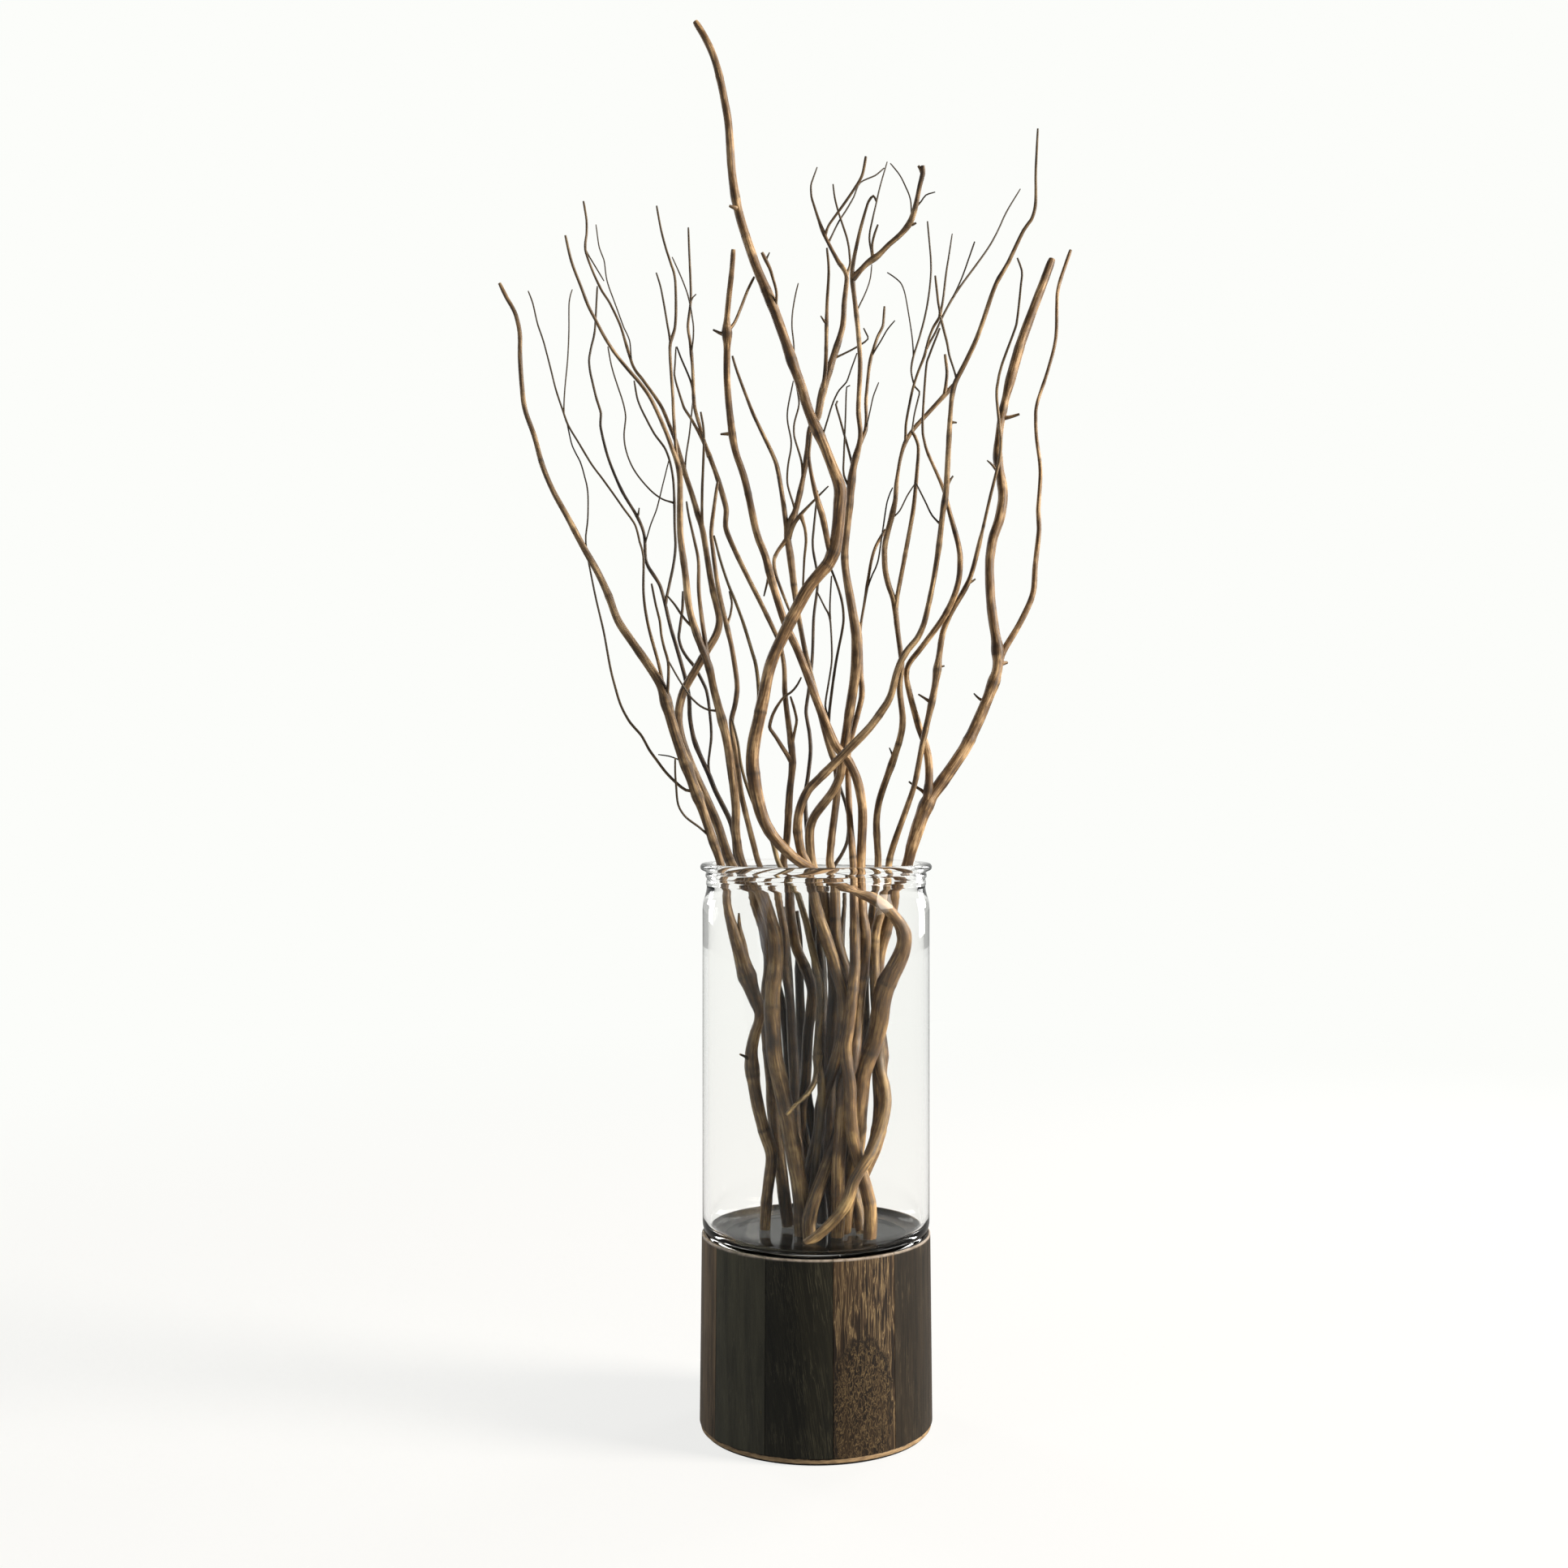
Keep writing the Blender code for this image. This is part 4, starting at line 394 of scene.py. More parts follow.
stem("knotted", "light", """
13.5 122 14 135 14.5 165 15.5 180 17.5 207 18.5 220 22.5 232 25 245 27.5 275 31 305 31 320 29 335 29 362 30 392 29 405
26 418 20 430 13 438 3 461 -5 482 -12.5 501 -20.5 519 -27.5 541 -32.5 560 -35.5 568 -39 578 -46 610 -52.5 630
-55.5 650 -57.5 675 -57.5 700 -57.5 715 -54.5 745 -53.5 759
/ 122 6.5 362 6 420 6 500 5 600 4.6 694 4.4 704 5.6 714 3.8 759 3.2
/ 122 -14 165 -22 220 -24 275 -20 335 -24 378 -28 430 -24 470 -14 530 -10 600 -20 700 -44 759 -62
| -57.5 703 -61 704.5 -66.5 707 / 2.4 2 1.6 / -10
| -57 703 -53 711 -49 720 -44 733 -40 741 / 2.1 1.8 / 20
| -55.3 640 -58 639.7 -61.5 639.5 / 2.2 1.7 / -10
| -30 552 -31.5 544 -33.7 535 / 1.8 1.3 / 15""")

stem("forked_right", "brown", """
29.5 123 28 135 25.5 147 23 160 22 172 23 185 26 197 30 222 32 250 31 280 32 295 35.5 325 38 340 40 362 39.5 375
39 388 40 398 42.5 408 49.5 428 52.5 437 55 446 56 456 54 474 54.5 483 55.3 492 52.8 512 50.5 531 47.5 540 45 550
44.3 560 44.8 570 49.5 589 51.3 598 52 608 54.5 624 58 635 64 644 70 650.5 86 668 90 673
/ 123 5.5 362 4.6 400 4.5 450 4.4 500 3.4 540 3.8 575 3.8 600 3 612 2.3 640 2.6 660 3 673 2.4
/ 123 -12 185 6 250 22 325 24 375 20 430 10 480 -4 531 -2 600 10 673 24
| 51 529 54 543 56.5 556 61.5 583 63.5 597 66 625 66 632 64 638 62 641 / 3 3 2 / 8
| 57 633 58 645 60 657 62.5 669 66 680 70 690 72.5 700 76 709 80 716 79 724 77 742 / 1.8 1.7 1.6 / -14
| 80 716 82 726 84 743 86 756 88 769 / 1.7 1.4 0.9 / 20
| 71.5 695 77 705 82 716 88 727 94 736 110 758 117 770 123 783 132 798 / 1.6 1.4 0.9 / 20
| 89 729 94 740 98 751 102.5 764 / 1 1.1 / -18
| 61.5 641 63.5 652 66.8 667 64 670 61.5 680 63 690 66.5 701 70 714 72.5 727 74 740 74.2 752 72 777 / 1.1 1.4 1.2 / 18
| 63 688 62.3 700 60.8 711 57 732 53 739 46 744 / 1 0.9 / 22
| 50.8 427 49 433 47.3 437 / 1.6 1 / -12
| 50 582 54 590 58.5 599 63.5 607 / 1.1 1 / 20
| 84 666 84 672 84.6 680 83.3 691 / 2.3 2 / 14""")

stem("far_right_slim", "tan", """
-7 116 0 121 8 128 16 137 21 146 24 156 29 165 35 174 40 186 43.5 198 45 209 43.5 221 41 232 40 262 38 290 38 315
42 332 46 347 47 362 50 374 60 402 64 415 69 440 75.5 470 78 485 80 500 82 512 87 524 93 534 98 543 101.5 553 107 575
113 601 116 613 118.5 624 119.5 635 118.5 645 116.7 664 117.5 673 120 684 128 706 130 714 132.5 737 133 745 130 753.5
/ 116 4.6 147 5.4 262 5 362 4.5 415 3.6 455 4 484 4.6 489 5.4 494 4.2 530 3.6 550 3 574 3.2 580 2.1 640 2.1 700 1.7
753 1.4
/ 116 -40 137 -42 156 -40 186 -26 209 -12 245 4 290 10 330 6 362 4 415 0 440 4 485 6 550 6 600 6 640 4 753 -18
| 74 467 70 469 66 471.5 / 2 1.4 / -10
| 78.5 489 80.5 489.3 83 489.8 / 1.7 1.2 / -10
| 99.5 543 101 544.5 103 546 / 1.6 1.2 / -10""")

stem("right_leader", "light", """
24 125 25 140 28 155 33 168 38 180 41 192 42 205 41 228 42.5 240 40 265 39 280 40 295 42 310 50 338 54 350 59 362
61.5 372 65 383 69 394 74 405 80 413 92 430 98 440 107.5 461 115 480 117.5 491 117 502 113.5 527 112 552 112.7 563
114.5 573 118 583 120 593 120.5 603 117.5 624 118 636 121 656 130 691 133.5 702 141 722 152.5 752.5
/ 125 6 192 7.4 217 7.4 250 6 350 6.5 372 9.4 394 9 413 8.4 450 7.6 491 6.6 540 6 575 6.8 603 6 636 5 656 5 670 7
700 6.6 752 5.4
/ 125 -2 160 8 200 8 240 16 300 22 350 14 394 16 450 26 491 34 575 44 620 50 680 60 752 74
| 67 388 70 396 72 406 73 418 72.5 430 70 441 66.5 450 61 470 58.5 483 60 491 66 499 76 512 83 522 88.5 533 92 545
93 557 92 568 86 590 82.5 603.5 75.5 620 72 628 69.8 636 68.8 647 71 681 73 690 80 708 / 5.6 5 3.4 4 3.6 2.2 1.6 1.4 /
-8
| 117.5 488 121 499 131 516 139 533 141 543 141.5 553 144 578 143.5 590 145 615 142.5 637 142 650 143 660 149.5 680
154.8 701 155.6 724 157 736 164.5 758.5 / 4.6 3.6 2.4 2.2 2.4 / 16
| 72 405 68 409.5 64 412 60 415 / 2.4 1.4 / -10
| 108.5 464 105 469 102 472 / 2 1.1 / -10
| 117.5 616 113.5 620 110.5 622.6 / 2.4 1.1 / -10
| 119.5 648 125 650.5 131.5 652.5 / 2.4 1.8 / -10
| 118 491 120.5 491.5 123.5 492 / 3 2.2 / -10""")

stem("inner_dark", "dark", """
4 130 3 165 3 190 5 240 4 290 2.5 312 3 330 5.5 340 8 350 11.5 360 16 367 20 376 21 388 19.5 399 14 417 9 440 8 452
10 472 13 493 16.8 512 17.8 521 16.8 531 14 541 9.5 553
/ 130 5 300 4.4 345 3 376 2.2 452 2 553 1.6
/ 130 16 200 34 330 40 376 38 440 24 553 -14
| 8 455 6 464 8.5 481 10 491 10.2 501 9 520 6 527 0.5 538 / 1.4 1.2 / 22
| 9 518 9 530 10 548 / 1.2 1.1 / -20
| 3 168 -1 184 -5 206 -8 232 -10 262 -11 290 -11 314 -12.5 332 / 4.4 5 4.6 4 2.4 / 6
| 5 238 9.5 256 13 278 14.5 300 12.5 322 9 338 / 4 4.4 3.6 2.4 / 8""")

stem("back_centre", "dark", """
3 128 3.5 155 4 180 5 210 4 240 2 270 0 300 -2 330 -4 362 -6 385 -7 405 -5 420 -3.5 435 -4.5 448 -6.5 460 -5 472
-2.5 495 -1.5 521 0.5 537 1 548 -2 566 -1.5 578 1 603
/ 128 5.4 300 4.6 362 3 450 2.4 540 1.8 603 1.4
/ 128 22 200 40 330 50 400 56 500 70 603 88
| 3.5 152 -1 166 -6 184 -10.5 206 -14 232 -16.5 262 -18 290 -19.5 314 -21.5 334 / 5 5.6 5.2 4.4 2.6 / 10
| 4.5 172 10 190 14.5 212 17 240 17.5 268 16 296 17 322 19 338 / 4.6 5 4.6 3.8 2.2 / 8""")


def inner_radius(z):
    """Inside radius of the glass at height z; above the lip nothing holds a stem in."""
    if z > LIP_Z + LIP_CLEAR:
        return OPEN_AIR_R
    return NECK_INNER_R if z > SHOULDER_Z - 6.0 else GLASS_R - GLASS_WALL


def through(points, step):
    """Samples, step apart, of one smooth curve through the points."""
    ends = np.array([2 * np.array(points[0]) - points[1], *points, 2 * np.array(points[-1]) - points[-2]], float)
    samples = []
    for a, b, c, d in zip(ends, ends[1:], ends[2:], ends[3:]):
        count = max(1, round(float(np.linalg.norm(c - b)) / step))
        for i in range(count):
            t = i / count
            cubic = 2 * b + (c - a) * t + (2 * a - 5 * b + 4 * c - d) * t**2 + (3 * b - a - 3 * c + d) * t**3
            samples.append(cubic / 2)
    samples.append(ends[-2])
    return np.array(samples)


def along(values, count):
    """Widths spread evenly over a twig, read at each of its samples."""
    return np.interp(np.linspace(0, 1, count), np.linspace(0, 1, len(values)), values)


def girth(heights):
    """How much thicker the older wood inside the glass is; it tapers to the drawn width at the lip."""
    return np.interp(heights, GIRTH_HEIGHTS, (VASE_GIRTH, 1.0))


def drawn_lines():
    """Every stem and twig as samples of the front drawing: its node, x and z, radii, depths and where it is rooted."""
    lines = []
    for name, bark, route, widths, depths, twigs in STEMS:
        flat = through(route, SAMPLE_STEP)
        radius = np.interp(flat[:, 1], *zip(*widths)) / 2 * girth(flat[:, 1])
        depth = np.interp(flat[:, 1], *zip(*depths))
        own = [dict(node=name, bark=bark, flat=flat, radius=radius, depth=depth, root=None)]
        for twig_route, twig_widths, lean in twigs:
            start = np.array(twig_route[0], float)
            host = min(own, key=lambda line: np.linalg.norm(line["flat"] - start, axis=1).min())
            at = int(np.linalg.norm(host["flat"] - start, axis=1).argmin())
            flat = through([tuple(host["flat"][at]), *twig_route[1:]], SAMPLE_STEP)
            gone = np.append(0, np.cumsum(np.linalg.norm(np.diff(flat, axis=0), axis=1)))
            depth = host["depth"][at] + lean * gone / 100
            radius = np.maximum(along(twig_widths, len(flat)), THINNEST) / 2 * girth(flat[:, 1])
            own.append(dict(node=name, bark=bark, flat=flat, radius=radius, depth=depth, root=(host, at)))
        lines += own
    return lines


def crossings(node_of, line_of, flat, radius):
    """Pairs of samples of different nodes that the front drawing shows closer than they may be."""
    order = np.argsort(flat[:, 1])
    heights = flat[order, 1]
    reach = 2 * radius.max() + STEM_CLEARANCE
    one, two = [], []
    for k, i in enumerate(order):
        last = np.searchsorted(heights, heights[k] + reach)
        near = order[k + 1 : last]
        near = near[node_of[near] != node_of[i]]
        apart = np.linalg.norm(flat[near] - flat[i], axis=1)
        near = near[apart < radius[near] + radius[i] + STEM_CLEARANCE]
        one += [i] * len(near)
        two += list(near)
    one, two = np.array(one), np.array(two)
    swap = line_of[one] > line_of[two]
    return np.where(swap, two, one), np.where(swap, one, two)


def front_to_back(one, two, line_of, depth):
    """Which way round each crossing lies, one sign for each stretch where two lines cover each other."""
    sign = np.zeros(len(one))
    key = line_of[one] * (line_of.max() + 1) + line_of[two]
    for k in np.unique(key):
        members = np.where(key == k)[0]
        members = members[np.argsort(one[members])]
        cuts = np.where(np.diff(one[members]) > CROSSING_REACH)[0] + 1
        for stretch in np.split(members, cuts):
            sign[stretch] = 1 if (depth[two[stretch]] - depth[one[stretch]]).sum() >= 0 else -1
    return sign


def ease_apart(lines):
    """Moves the lines in depth alone, smoothly, until no two nodes touch and all of them stay inside the glass."""
    counts = [len(line["flat"]) for line in lines]
    first = np.append(0, np.cumsum(counts))
    names = [line["node"] for line in lines]
    node_of = np.concatenate([[names.index(name)] * n for name, n in zip(names, counts)])
    line_of = np.concatenate([[k] * n for k, n in enumerate(counts)])
    flat, radius, depth = (np.concatenate([line[key] for line in lines]) for key in ("flat", "radius", "depth"))
    one, two = crossings(node_of, line_of, flat, radius)
    apart = np.linalg.norm(flat[one] - flat[two], axis=1)
    need = np.sqrt((radius[one] + radius[two] + STEM_CLEARANCE) ** 2 - apart**2)
    sign = front_to_back(one, two, line_of, depth)
    room = np.array([inner_radius(z) for z in flat[:, 1]]) - radius - WALL_CLEARANCE
    room = np.sqrt(np.maximum(room**2 - flat[:, 0] ** 2, 0))
    starts = {id(line): first[k] for k, line in enumerate(lines)}
    twigs = [(k, *line["root"]) for k, line in enumerate(lines) if line["root"]]
    roots, hosts = np.array([(first[k], starts[id(host)] + at) for k, host, at in twigs]).T
    for turn in range(EASE_STEPS):
        short = np.maximum(need - sign * (depth[two] - depth[one]), 0) * sign
        push = np.bincount(two, short, len(depth)) - np.bincount(one, short, len(depth))
        touches = np.bincount(two, short != 0, len(depth)) + np.bincount(one, short != 0, len(depth))
        depth += PUSH_SHARE * push / np.maximum(touches, 1)
        if turn < SMOOTH_STEPS:
            for a, b in zip(first, first[1:]):
                inner = depth[a + 1 : b - 1]
                inner += SMOOTH_SHARE * (depth[a : b - 2] + depth[a + 2 : b] - 2 * inner)
        depth = np.clip(depth, -room, room)
        depth[roots] = depth[hosts]
    for k, line in enumerate(lines):
        line["depth"] = depth[first[k] : first[k + 1]]


def place(flat, depth):
    """Real positions of samples of the front drawing at their depths."""
    scale = (EYE_DISTANCE + depth) / EYE_DISTANCE
    x = flat[:, 0] * scale
    z = EYE_HEIGHT + (flat[:, 1] - EYE_HEIGHT) * scale
    return np.stack([x, depth, z], axis=1)


def stand_on_floor(points):
    """Lowers or lifts a stem's lowest stretch so that its foot stands on the glass floor."""
    climb = points[:, 2] - points[0, 2]
    share = np.clip(1 - climb / FOOT_BLEND, 0, 1)
    points[:, 2] += (FOOT_Z - points[0, 2]) * share**2
    return points


def lin(colour):
    """Linear red, green, blue and a full alpha of an sRGB colour written as "rrggbb"."""
    channels = [int(colour[k : k + 2], 16) / 255 for k in (0, 2, 4)]
    return (*(c / 12.92 if c <= 0.04045 else ((c + 0.055) / 1.055) ** 2.4 for c in channels), 1.0)


def per(size):
    """Scale of a noise whose patches are about this many millimetres across."""
    return 1 / (size * MM)


def add(tree, kind, inputs=(), out=0, stops=(), **settings):
    """Adds a node with its settings and its inputs, plain, linked or a colour, and gives back one of its outputs."""
    node = tree.nodes.new("ShaderNode" + kind)
    for name, value in settings.items():
        setattr(node, name, value)
    for name, value in dict(inputs).items():
        if isinstance(value, bpy.types.NodeSocket):
            tree.links.new(value, node.inputs[name])
        else:
            node.inputs[name].default_value = lin(value) if isinstance(value, str) else value
    for k, (position, colour) in enumerate(stops):
        stop = node.color_ramp.elements[k] if k < 2 else node.color_ramp.elements.new(position)
        stop.position = position
        stop.color = lin(colour)
    return node.outputs[out] if len(node.outputs) else node


def empty_material(name):
    """A material without nodes, and the function that adds its nodes."""
    material = bpy.data.materials.new(name)
    material.use_nodes = True
    material.node_tree.nodes.clear()
    return material, partial(add, material.node_tree)


def height_and_radius(node, real):
    """How high a point lies, and how far from the upright axis."""
    flat = node("VectorMath", {0: real, 1: (1, 1, 0)}, operation="MULTIPLY")
    return node("SeparateXYZ", {"Vector": real}, "Z"), node("VectorMath", {0: flat}, "Value", operation="LENGTH")


def distance_from(node, value, level):
    """How far a value lies from a level, above or below it."""
    apart = node("Math", {0: value, 1: level}, operation="SUBTRACT")
    return node("Math", {0: apart}, operation="ABSOLUTE")


def dried_bark(name, shade, body, light):
    """Dried willow with its bark left on: a smooth skin with a low sheen, long fibres that show as pale and dark
    streaks, soft weathered blotches, dark breathing spots and bud scars, and young twigs that stay dark."""
    material, node = empty_material("dried_willow_bark_" + name)
    place = node("Attribute", out="Vector", attribute_name="bark_place")
    real = node("TexCoord", out="Object")
    # Fibres are about 0.3 mm wide, too fine to show, so they are drawn FIBRE_WIDE wide
    drawn = node("Mapping", {"Vector": place, "Scale": (1, 1, FIBRE_WIDE / FIBRE_LONG)})
    fibres = node("TexNoise", {"Vector": drawn, "Scale": per(FIBRE_WIDE), "Detail": 3.0, "Roughness": 0.65})
    blotches = node("TexNoise", {"Vector": real, "Scale": per(BLOTCH), "Detail": 4.0, "Roughness": 0.6})
    tone = node("Mix", {0: 0.45, 2: fibres, 3: blotches}, data_type="FLOAT")
    stops = ((0.38, shade), (0.50, body), (0.63, light))
    colour = node("ValToRGB", {"Fac": tone}, stops=stops)
    # Breathing spots are 0.5 to 1 mm, drawn SPOT wide and longer along the stem
    drawn = node("Mapping", {"Vector": place, "Scale": (1, 1, 0.5)})
    spots = node("TexVoronoi", {"Vector": drawn, "Scale": per(SPOT_SPACING)})
    reach = SPOT / SPOT_SPACING / 2
    spot = node("MapRange", {"Value": spots, 1: reach, 2: reach * 0.6, 4: 0.55})
    colour = node("Mix", {0: spot, 6: colour, 7: "37291c"}, 2, data_type="RGBA")
    scar = node("Attribute", out="Fac", attribute_name="ring")
    colour = node("Mix", {0: scar, 6: colour, 7: "2b2118"}, 2, data_type="RGBA")
    young = node("Attribute", out="Fac", attribute_name="slim")
    colour = node("Mix", {0: young, 6: colour, 7: "433826"}, 2, data_type="RGBA")
    height, radius = height_and_radius(node, real)
    # Painted shade: the part that stands in the glass is darkened, with a grey-green cast, for the shade of the
    # crowded bunch seen through the glass
    low = node("MapRange", {"Value": height, 1: GLASS_SHADE_Z_M[0], 2: GLASS_SHADE_Z_M[1]})
    stops = ((0.1, "e6e4cf"), (0.45, "aea997"), (0.75, "b6b19f"), (1.0, "ffffff"))
    glass_shade = node("ValToRGB", {"Fac": low}, stops=stops)
    colour = node("Mix", {0: 1.0, 6: colour, 7: glass_shade}, 2, data_type="RGBA", blend_type="MULTIPLY")
    # Painted shade: the heart of the bunch, inside the glass, is darker still
    heart_shade = node("MapRange", {"Value": radius, 1: HEART_SHADE_R_M[0], 2: HEART_SHADE_R_M[1]})
    inside = node("MapRange", {"Value": height, 1: HEART_SHADE_Z_M[0], 2: HEART_SHADE_Z_M[1]})
    heart_shade = node("Math", {0: heart_shade, 1: inside}, operation="MULTIPLY")
    colour = node("Mix", {0: heart_shade, 6: colour, 7: "8a8070"}, 2, data_type="RGBA", blend_type="MULTIPLY")
    gloss = node("MapRange", {"Value": fibres, 3: 0.42, 4: 0.66})
    relief = node("Bump", {"Strength": 0.5, "Distance": 0.4 * MM, "Height": fibres})
    surface = node("BsdfPrincipled", {"Base Color": colour, "Roughness": gloss, "Normal": relief})
    node("OutputMaterial", {"Surface": surface})
    return material


def mottled(name, patch, detail, stops, look):
    """A plain material whose tone wanders between two colours, in patches of about this size."""
    material, node = empty_material(name)
    real = node("TexCoord", out="Object")
    tone = node("TexNoise", {"Vector": real, "Scale": per(patch), "Detail": detail})
    colour = node("ValToRGB", {"Fac": tone}, stops=stops)
    node("OutputMaterial", {"Surface": node("BsdfPrincipled", {"Base Color": colour, **look})})
    return material


def rubbed_edge_and_recess_shade(node, real, colour):
    """Rubs the stain off along the drum's top edge, in patches, and darkens everything inside the rim near black as
    painted shade of the recess.
    """
    height, radius = height_and_radius(node, real)
    edge_r = (DRUM_TOP_R - TOP_CHAMFER) * MM
    inside = node("MapRange", {"Value": radius, 1: edge_r - 0.3 * MM, 2: edge_r - 0.9 * MM, 4: 0.7})
    top = node("MapRange", {"Value": height, 1: (DRUM_TOP_Z - 1.6) * MM, 2: (DRUM_TOP_Z - 0.9) * MM})
    outside = node("MapRange", {"Value": radius, 1: edge_r - 0.5 * MM, 2: edge_r})
    patch = node("TexNoise", {"Vector": real, "Scale": per(4), "Detail": 3.0})
    patch = node("MapRange", {"Value": patch, 1: 0.36, 2: 0.62, 3: 0.45, 4: 0.95})
    worn = node("Math", {0: top, 1: outside}, operation="MULTIPLY")
    worn = node("Math", {0: worn, 1: patch}, operation="MULTIPLY")
    # Painted shade: inside the rim, from the seat up, the wood is darkened near black, for the shade of the recess
    # under the glass
    lid = node("MapRange", {"Value": height, 1: (SEAT_Z - 1) * MM, 2: SEAT_Z * MM})
    dark = node("Math", {0: inside, 1: lid}, operation="MULTIPLY")
    colour = node("Mix", {0: dark, 6: colour, 7: "0d0b09"}, 2, data_type="RGBA")
    return node("Mix", {0: worn, 6: colour, 7: "a3978a"}, 2, data_type="RGBA")


def oil(node, real, colour, gloss, grain):
    """Closes a stave's wood: rubbed along its top edge, with its grain raised a little, and thinly oiled."""
    colour = rubbed_edge_and_recess_shade(node, real, colour)
    relief = node("Bump", {"Strength": 0.4, "Distance": 0.3 * MM, "Height": grain})
    oiled = {"Base Color": colour, "Roughness": gloss, "Normal": relief, "Specular IOR Level": 0.3}
    node("OutputMaterial", {"Surface": node("BsdfPrincipled", oiled)})


def stained_stave(name, base, band, scratch, share, lean, start):
    """Reclaimed hardwood stained near black and oiled: soft upright bands of grain, and fine pale scratches where
    the grain has opened, which lean on a board cut across its fibres."""
    material, node = empty_material("stained_hardwood_" + name)
    real = node("TexCoord", out="Object")
    turn = node("Mapping", {"Vector": real, "Location": (start, start, 0), "Rotation": (0, lean, 0)})
    # Growth bands about 9 mm wide
    long = node("Mapping", {"Vector": turn, "Scale": (1, 1, 0.09)})
    bands = node("TexNoise", {"Vector": long, "Scale": per(9), "Detail": 5.0, "Roughness": 0.62})
    colour = node("ValToRGB", {"Fac": bands}, stops=((0.36, base), (0.66, band)))
    # Open grain is about 0.2 mm wide, too fine to show, so its scratches are drawn near 0.7 mm
    long = node("Mapping", {"Vector": turn, "Scale": (1, 1, 0.035)})
    grain = node("TexNoise", {"Vector": long, "Scale": per(1.6), "Detail": 4.0, "Distortion": 0.9})
    away = distance_from(node, grain, 0.5)
    line = node("MapRange", {"Value": away, 1: 0.035, 2: 0.005})
    where = node("TexNoise", {"Vector": turn, "Scale": per(22), "Detail": 2.0})
    where = node("MapRange", {"Value": where, 1: 0.38, 2: 0.62, 3: 0.1, 4: share})
    line = node("Math", {0: line, 1: where}, operation="MULTIPLY")
    colour = node("Mix", {0: line, 6: colour, 7: scratch}, 2, data_type="RGBA")
    gloss = node("MapRange", {"Value": grain, 3: 0.42, 4: 0.68})
    oil(node, real, colour, gloss, grain)
    return material


def figured_stave():
    """A board of burl wood, planed and oiled: wiry upright grain above, and below it a rounded knot that is full of
    small curls, with a dark seam round its head."""
    material, node = empty_material("figured_burl_wood")
    real = node("TexCoord", out="Object")
    knot_place = node("Mapping", {"Vector": real, "Location": (-KNOT_X * MM, 0, -KNOT_Z * MM)})
    size = (per(KNOT_HALF_WIDE), 0, per(KNOT_HIGH))
    oval = node("VectorMath", {0: knot_place, 1: size}, operation="MULTIPLY")
    upper = node("VectorMath", {0: oval, 1: (-9, -9, 0)}, operation="MAXIMUM")
    reach = node("VectorMath", {0: upper}, "Value", operation="LENGTH")
    sway = node("TexNoise", {"Vector": real, "Scale": per(9), "Detail": 2.0})
    reach = node("Math", {0: sway, 1: 0.45, 2: reach}, operation="MULTIPLY_ADD")
    depth = node("SeparateXYZ", {"Vector": real}, "Y")
    front = node("MapRange", {"Value": depth, 1: -0.02, 2: -0.04})
    knot = node("MapRange", {"Value": reach, 1: KNOT_RIM[0], 2: KNOT_RIM[1]})
    knot = node("Math", {0: knot, 1: front}, operation="MULTIPLY")
    seam = node("MapRange", {"Value": distance_from(node, reach, SEAM_AT), 1: SEAM_HALF, 2: 0.0, 4: 0.8})
    seam = node("Math", {0: seam, 1: front}, operation="MULTIPLY")
    # Curls about 1 mm wide, long and upright away from the knot
    squat = node("Mapping", {"Vector": real, "Scale": (1, 1, 0.4)})
    curls = node("TexNoise", {"Vector": squat, "Scale": per(2.4), "Detail": 2.0, "Distortion": 1.5})
    long = node("Mapping", {"Vector": real, "Scale": (1, 1, 0.07), "Rotation": (0, 0.10, 0)})
    wires = node("TexNoise", {"Vector": long, "Scale": per(2.0), "Detail": 4.0, "Distortion": 0.9})
    grain = node("Mix", {0: knot, 2: wires, 3: curls}, data_type="FLOAT")
    away = distance_from(node, grain, 0.5)
    colour = node("ValToRGB", {"Fac": away}, stops=((0.0, "8d7856"), (0.03, "514130"), (0.10, "1f1710")))
    broad = node("TexNoise", {"Vector": long, "Scale": per(9), "Detail": 3.0})
    warm = node("MapRange", {"Value": broad, 1: 0.42, 2: 0.66, 4: 0.5})
    colour = node("Mix", {0: warm, 6: colour, 7: "634e36"}, 2, data_type="RGBA")
    dim = node("Math", {0: knot, 1: 0.55}, operation="MULTIPLY")
    colour = node("Mix", {0: dim, 6: colour, 7: "a6a493"}, 2, data_type="RGBA", blend_type="MULTIPLY")
    colour = node("Mix", {0: seam, 6: colour, 7: "1f1812"}, 2, data_type="RGBA")
    oil(node, real, colour, 0.55, grain)
    return material


def sawn_board():
    """Bare sawn softwood under the drum: a tan edge that is broken by dark stain which ran down over it."""
    material, node = empty_material("sawn_softwood_edge")
    real = node("TexCoord", out="Object")
    flat = node("Mapping", {"Vector": real, "Scale": (1, 1, 5)})
    rings = node("TexNoise", {"Vector": flat, "Scale": per(5), "Detail": 4.0})
    colour = node("ValToRGB", {"Fac": rings}, stops=((0.3, "80674a"), (0.7, "bd9f76")))
    run = node("TexNoise", {"Vector": real, "Scale": per(7), "Detail": 4.0})
    height = node("SeparateXYZ", {"Vector": real}, "Z")
    level = node("Math", {0: run, 1: 2.4 * MM, 2: height}, operation="MULTIPLY_ADD")
    stain = node("MapRange", {"Value": level, 1: STAIN_Z * MM, 2: (STAIN_Z + 0.5) * MM, 4: 0.92})
    colour = node("Mix", {0: stain, 6: colour, 7: "1d1914"}, 2, data_type="RGBA")
    node("OutputMaterial", {"Surface": node("BsdfPrincipled", {"Base Color": colour, "Roughness": 0.7})})
    return material


